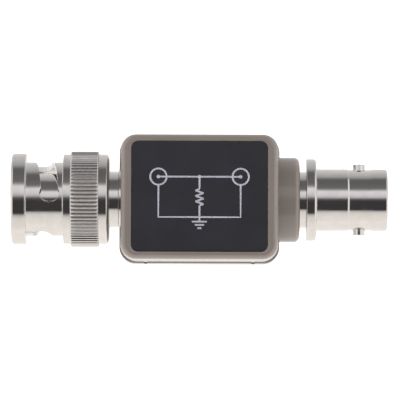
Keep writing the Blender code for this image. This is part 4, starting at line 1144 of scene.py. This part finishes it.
def tooth_rings():
    """One tooth, root to root: a rounded crest with steep flanks, chamfered at both ends."""
    pitch = math.tau / TEETH
    flank = [(0.5, ROOT), (0.46, ROOT), (0.34, ROOT + 0.14), (0.2, CREST - 0.05), (0.1, CREST - 0.01)]
    profile = [(-share, r) for share, r in flank] + [(0.0, CREST)] + flank[::-1]
    ends = ((0.0, END_CHAMFER), (END_CHAMFER / 3, END_CHAMFER / 3), (END_CHAMFER, 0.0))
    stations = [(KNURL_FRONT - step, inset) for step, inset in ends]
    stations += [(KNURL_BACK + step, inset) for step, inset in ends[::-1]]
    rings = []
    for x, inset in stations:
        ring = [(share, max(radius - inset, ROOT - PLAY)) for share, radius in profile]
        ring += [(0.5, TOOTH_FOOT), (-0.5, TOOTH_FOOT)]
        rings.append([(-x, r * math.sin(s * pitch), r * math.cos(s * pitch)) for s, r in ring])
    return rings


# %% Build the knurl
knurl = lofted("knurl_teeth", tooth_rings())
knurl.data.transform(Matrix.Translation((0, 0, -AXIS)))
grown(knurl, knurl_tree(), teeth=TEETH, axis_height=AXIS, finish=knurled_nickel)
polished(knurl, 60)
back, front = KNURL_BACK + 0.02, KNURL_FRONT - 0.02
root_band = turned(
    "knurl_root",
    [(back, BAND_INSIDE), (back, BAND), (front, BAND), (front, BAND_INSIDE)],
    knurled_nickel,
    side=-1,
    soften=0.02,
    steps=152,
)
for piece in (knurl, root_band):
    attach(piece, "coupling_nut")
print("knurl", len(knurl.data.polygons), "faces on", TEETH, "teeth")

# %% [markdown]
# Light
#
# Bright metal shows nothing but what stands round it, so the light matters more here than any
# colour. The studio has a warm white wall below the picture's lower edge, the dark gap that the
# camera looks through, a cool panel above it, a grey flag, and a dim wall beyond. The world holds
# them by their angle about the coaxial line, for reflections only, with white panels at both ends.
# Everything else gets soft light that comes mostly from low at the sides, more from below the
# picture than from above it, and strongest just over the floor at both ends. That is why upright
# walls come out brighter than level faces.

# %% World
STUDIO = [
    (-90, (1.04, 1.00, 0.965)),
    (-66, (0.95, 0.91, 0.875)),
    (-54, (0.86, 0.83, 0.815)),
    (-47, (0.62, 0.60, 0.59)),
    (-41, (0.050, 0.048, 0.048)),
    (-9, (0.050, 0.049, 0.051)),
    (-1, (0.11, 0.107, 0.112)),
    (6, (0.58, 0.56, 0.59)),
    (12, (0.80, 0.775, 0.81)),
    (24, (0.90, 0.88, 0.92)),
    (29, (0.88, 0.86, 0.90)),
    (35, (0.40, 0.39, 0.405)),
    (41, (0.18, 0.18, 0.183)),
    (64, (0.135, 0.135, 0.138)),
    (78, (0.14, 0.14, 0.143)),
    (86, (0.27, 0.27, 0.275)),
    (92, (0.44, 0.44, 0.45)),
]
SIDE_LIGHT, LEAN, END_LIGHT, FILL = 1.75, 0.45, 8.0, 0.56
world = bpy.data.worlds.new("studio")
bpy.context.scene.world = world
world.use_nodes = True
world.node_tree.nodes.clear()
sky = Graph(world.node_tree)
along, across, up = sky.split(sky.add("ShaderNodeTexCoord", out="Generated"))
angle = across.maths("ARCTAN2", across, up) * (180 / math.pi)
panels = sky.steps(angle.ramp(-180, 180, linear=True), [((a + 180) / 360, c) for a, c in STUDIO])
ends = sky.tint(abs(along).ramp(0.3, 0.5), panels, (0.97, 0.965, 0.96))
low = abs(up).ramp(0.7, 0.3) * (SIDE_LIGHT - across * LEAN)
flat = abs(up).ramp(0.25, 0.05) * abs(along).ramp(0.3, 0.9) * END_LIGHT
level = low + flat + FILL
soft = sky.add("ShaderNodeCombineXYZ", None, {0: level, 1: level * 0.985, 2: level * 0.97})
seen, glossy = sky.rays()
light = sky.tint(glossy, soft, ends)
white = sky.tint(seen, light, (1.0, 1.0, 1.0))
glow = sky.add("ShaderNodeBackground", None, {"Color": white, "Strength": 1.0})
sky.add("ShaderNodeOutputWorld", None, {"Surface": glow})
print("studio panels:", len(STUDIO))

# %% Floor
# Painted light: to glossy rays the floor is an emission in place of the lit paper. It is warm and a
# little brighter than white on the near side, and cool on the far side, where a painted glow fades
# from bright near the middle line to dim far off. Metal and the housing's walls show it as a painted
# reflection.
FLOOR_HALF, FLOOR_DROP, CROSSING = 3.0, 0.02 * MM, 2 * MM
FAR_GLOW, FAR_SOFTNESS, FAR_LEVEL, NEAR_LEVEL = 0.0085, 0.010, 0.40, 1.08
floor_mesh = bpy.data.meshes.new("floor")
sides = ((-1, -1), (1, -1), (1, 1), (-1, 1))
corners = [(x * FLOOR_HALF, y * FLOOR_HALF, -FLOOR_DROP) for x, y in sides]
floor_mesh.from_pydata(corners, [], [(0, 1, 2, 3)])
floor = mesh_object("floor", floor_mesh)
paper_and_glow = bpy.data.materials.new("white_paper_and_painted_glow")
paper_and_glow.use_nodes = True
paper_and_glow.node_tree.nodes.clear()
sheet = Graph(paper_and_glow.node_tree)
y = sheet.split(sheet.place())[1]
matt = sheet.add("ShaderNodeBsdfDiffuse", None, {"Color": (0.82, 0.82, 0.82, 1)})
seen, glossy = sheet.rays()
lift = sheet.add("ShaderNodeEmission", None, {"Color": (1, 1, 1, 1), "Strength": seen * 0.8})
lit = sheet.add("ShaderNodeAddShader", None, {0: matt, 1: lift})
# The far side's painted glow, brightest next to the middle line.
far_painted_glow = FAR_GLOW / (abs(y) + FAR_SOFTNESS) + FAR_LEVEL
tone = sheet.tint(y.ramp(-CROSSING, CROSSING), (1.0, 0.96, 0.925), (1.0, 0.99, 0.995))
level = y.ramp(-CROSSING, CROSSING, NEAR_LEVEL, far_painted_glow)
# The painted reflection: an emission that glossy rays see instead of the paper.
painted_reflection = sheet.add("ShaderNodeEmission", None, {"Color": tone, "Strength": level})
both = sheet.add("ShaderNodeMixShader", None, {0: glossy, 1: lit, 2: painted_reflection})
sheet.add("ShaderNodeOutputMaterial", None, {"Surface": both})
paper_and_glow.cycles.emission_sampling = "NONE"
floor_mesh.materials.append(paper_and_glow)

# %% [markdown]
# The camera stands far above the label, tipped four degrees towards the picture's lower edge, with
# a long lens, worked out for a picture 400 pixels wide that shows 6.45 of them for each millimetre.

# %% Camera
PIXELS, PER_MM, SENSOR = 400, 6.45, 36
DISTANCE = 620 * MM
tilt, roll = math.radians(4.0), math.radians(0.2)
lens = bpy.data.cameras.new("camera")
lens.sensor_width = SENSOR
lens.lens = SENSOR * DISTANCE / (PIXELS / PER_MM * MM)
lens.clip_start = 0.05
lens.clip_end = 10
camera = bpy.data.objects.new("camera", lens)
bpy.context.scene.collection.objects.link(camera)
aim = Vector((0.08 * MM, -0.05 * MM, AXIS))
turn = Matrix.Rotation(tilt, 4, "X") @ Matrix.Rotation(roll, 4, "Z")
camera.matrix_world = Matrix.Translation(aim) @ turn @ Matrix.Translation((0, 0, DISTANCE))
bpy.context.scene.camera = camera
bpy.context.scene.view_settings.view_transform = "Standard"
print("lens", round(lens.lens), "mm")

# %% Finish
print("scene built")
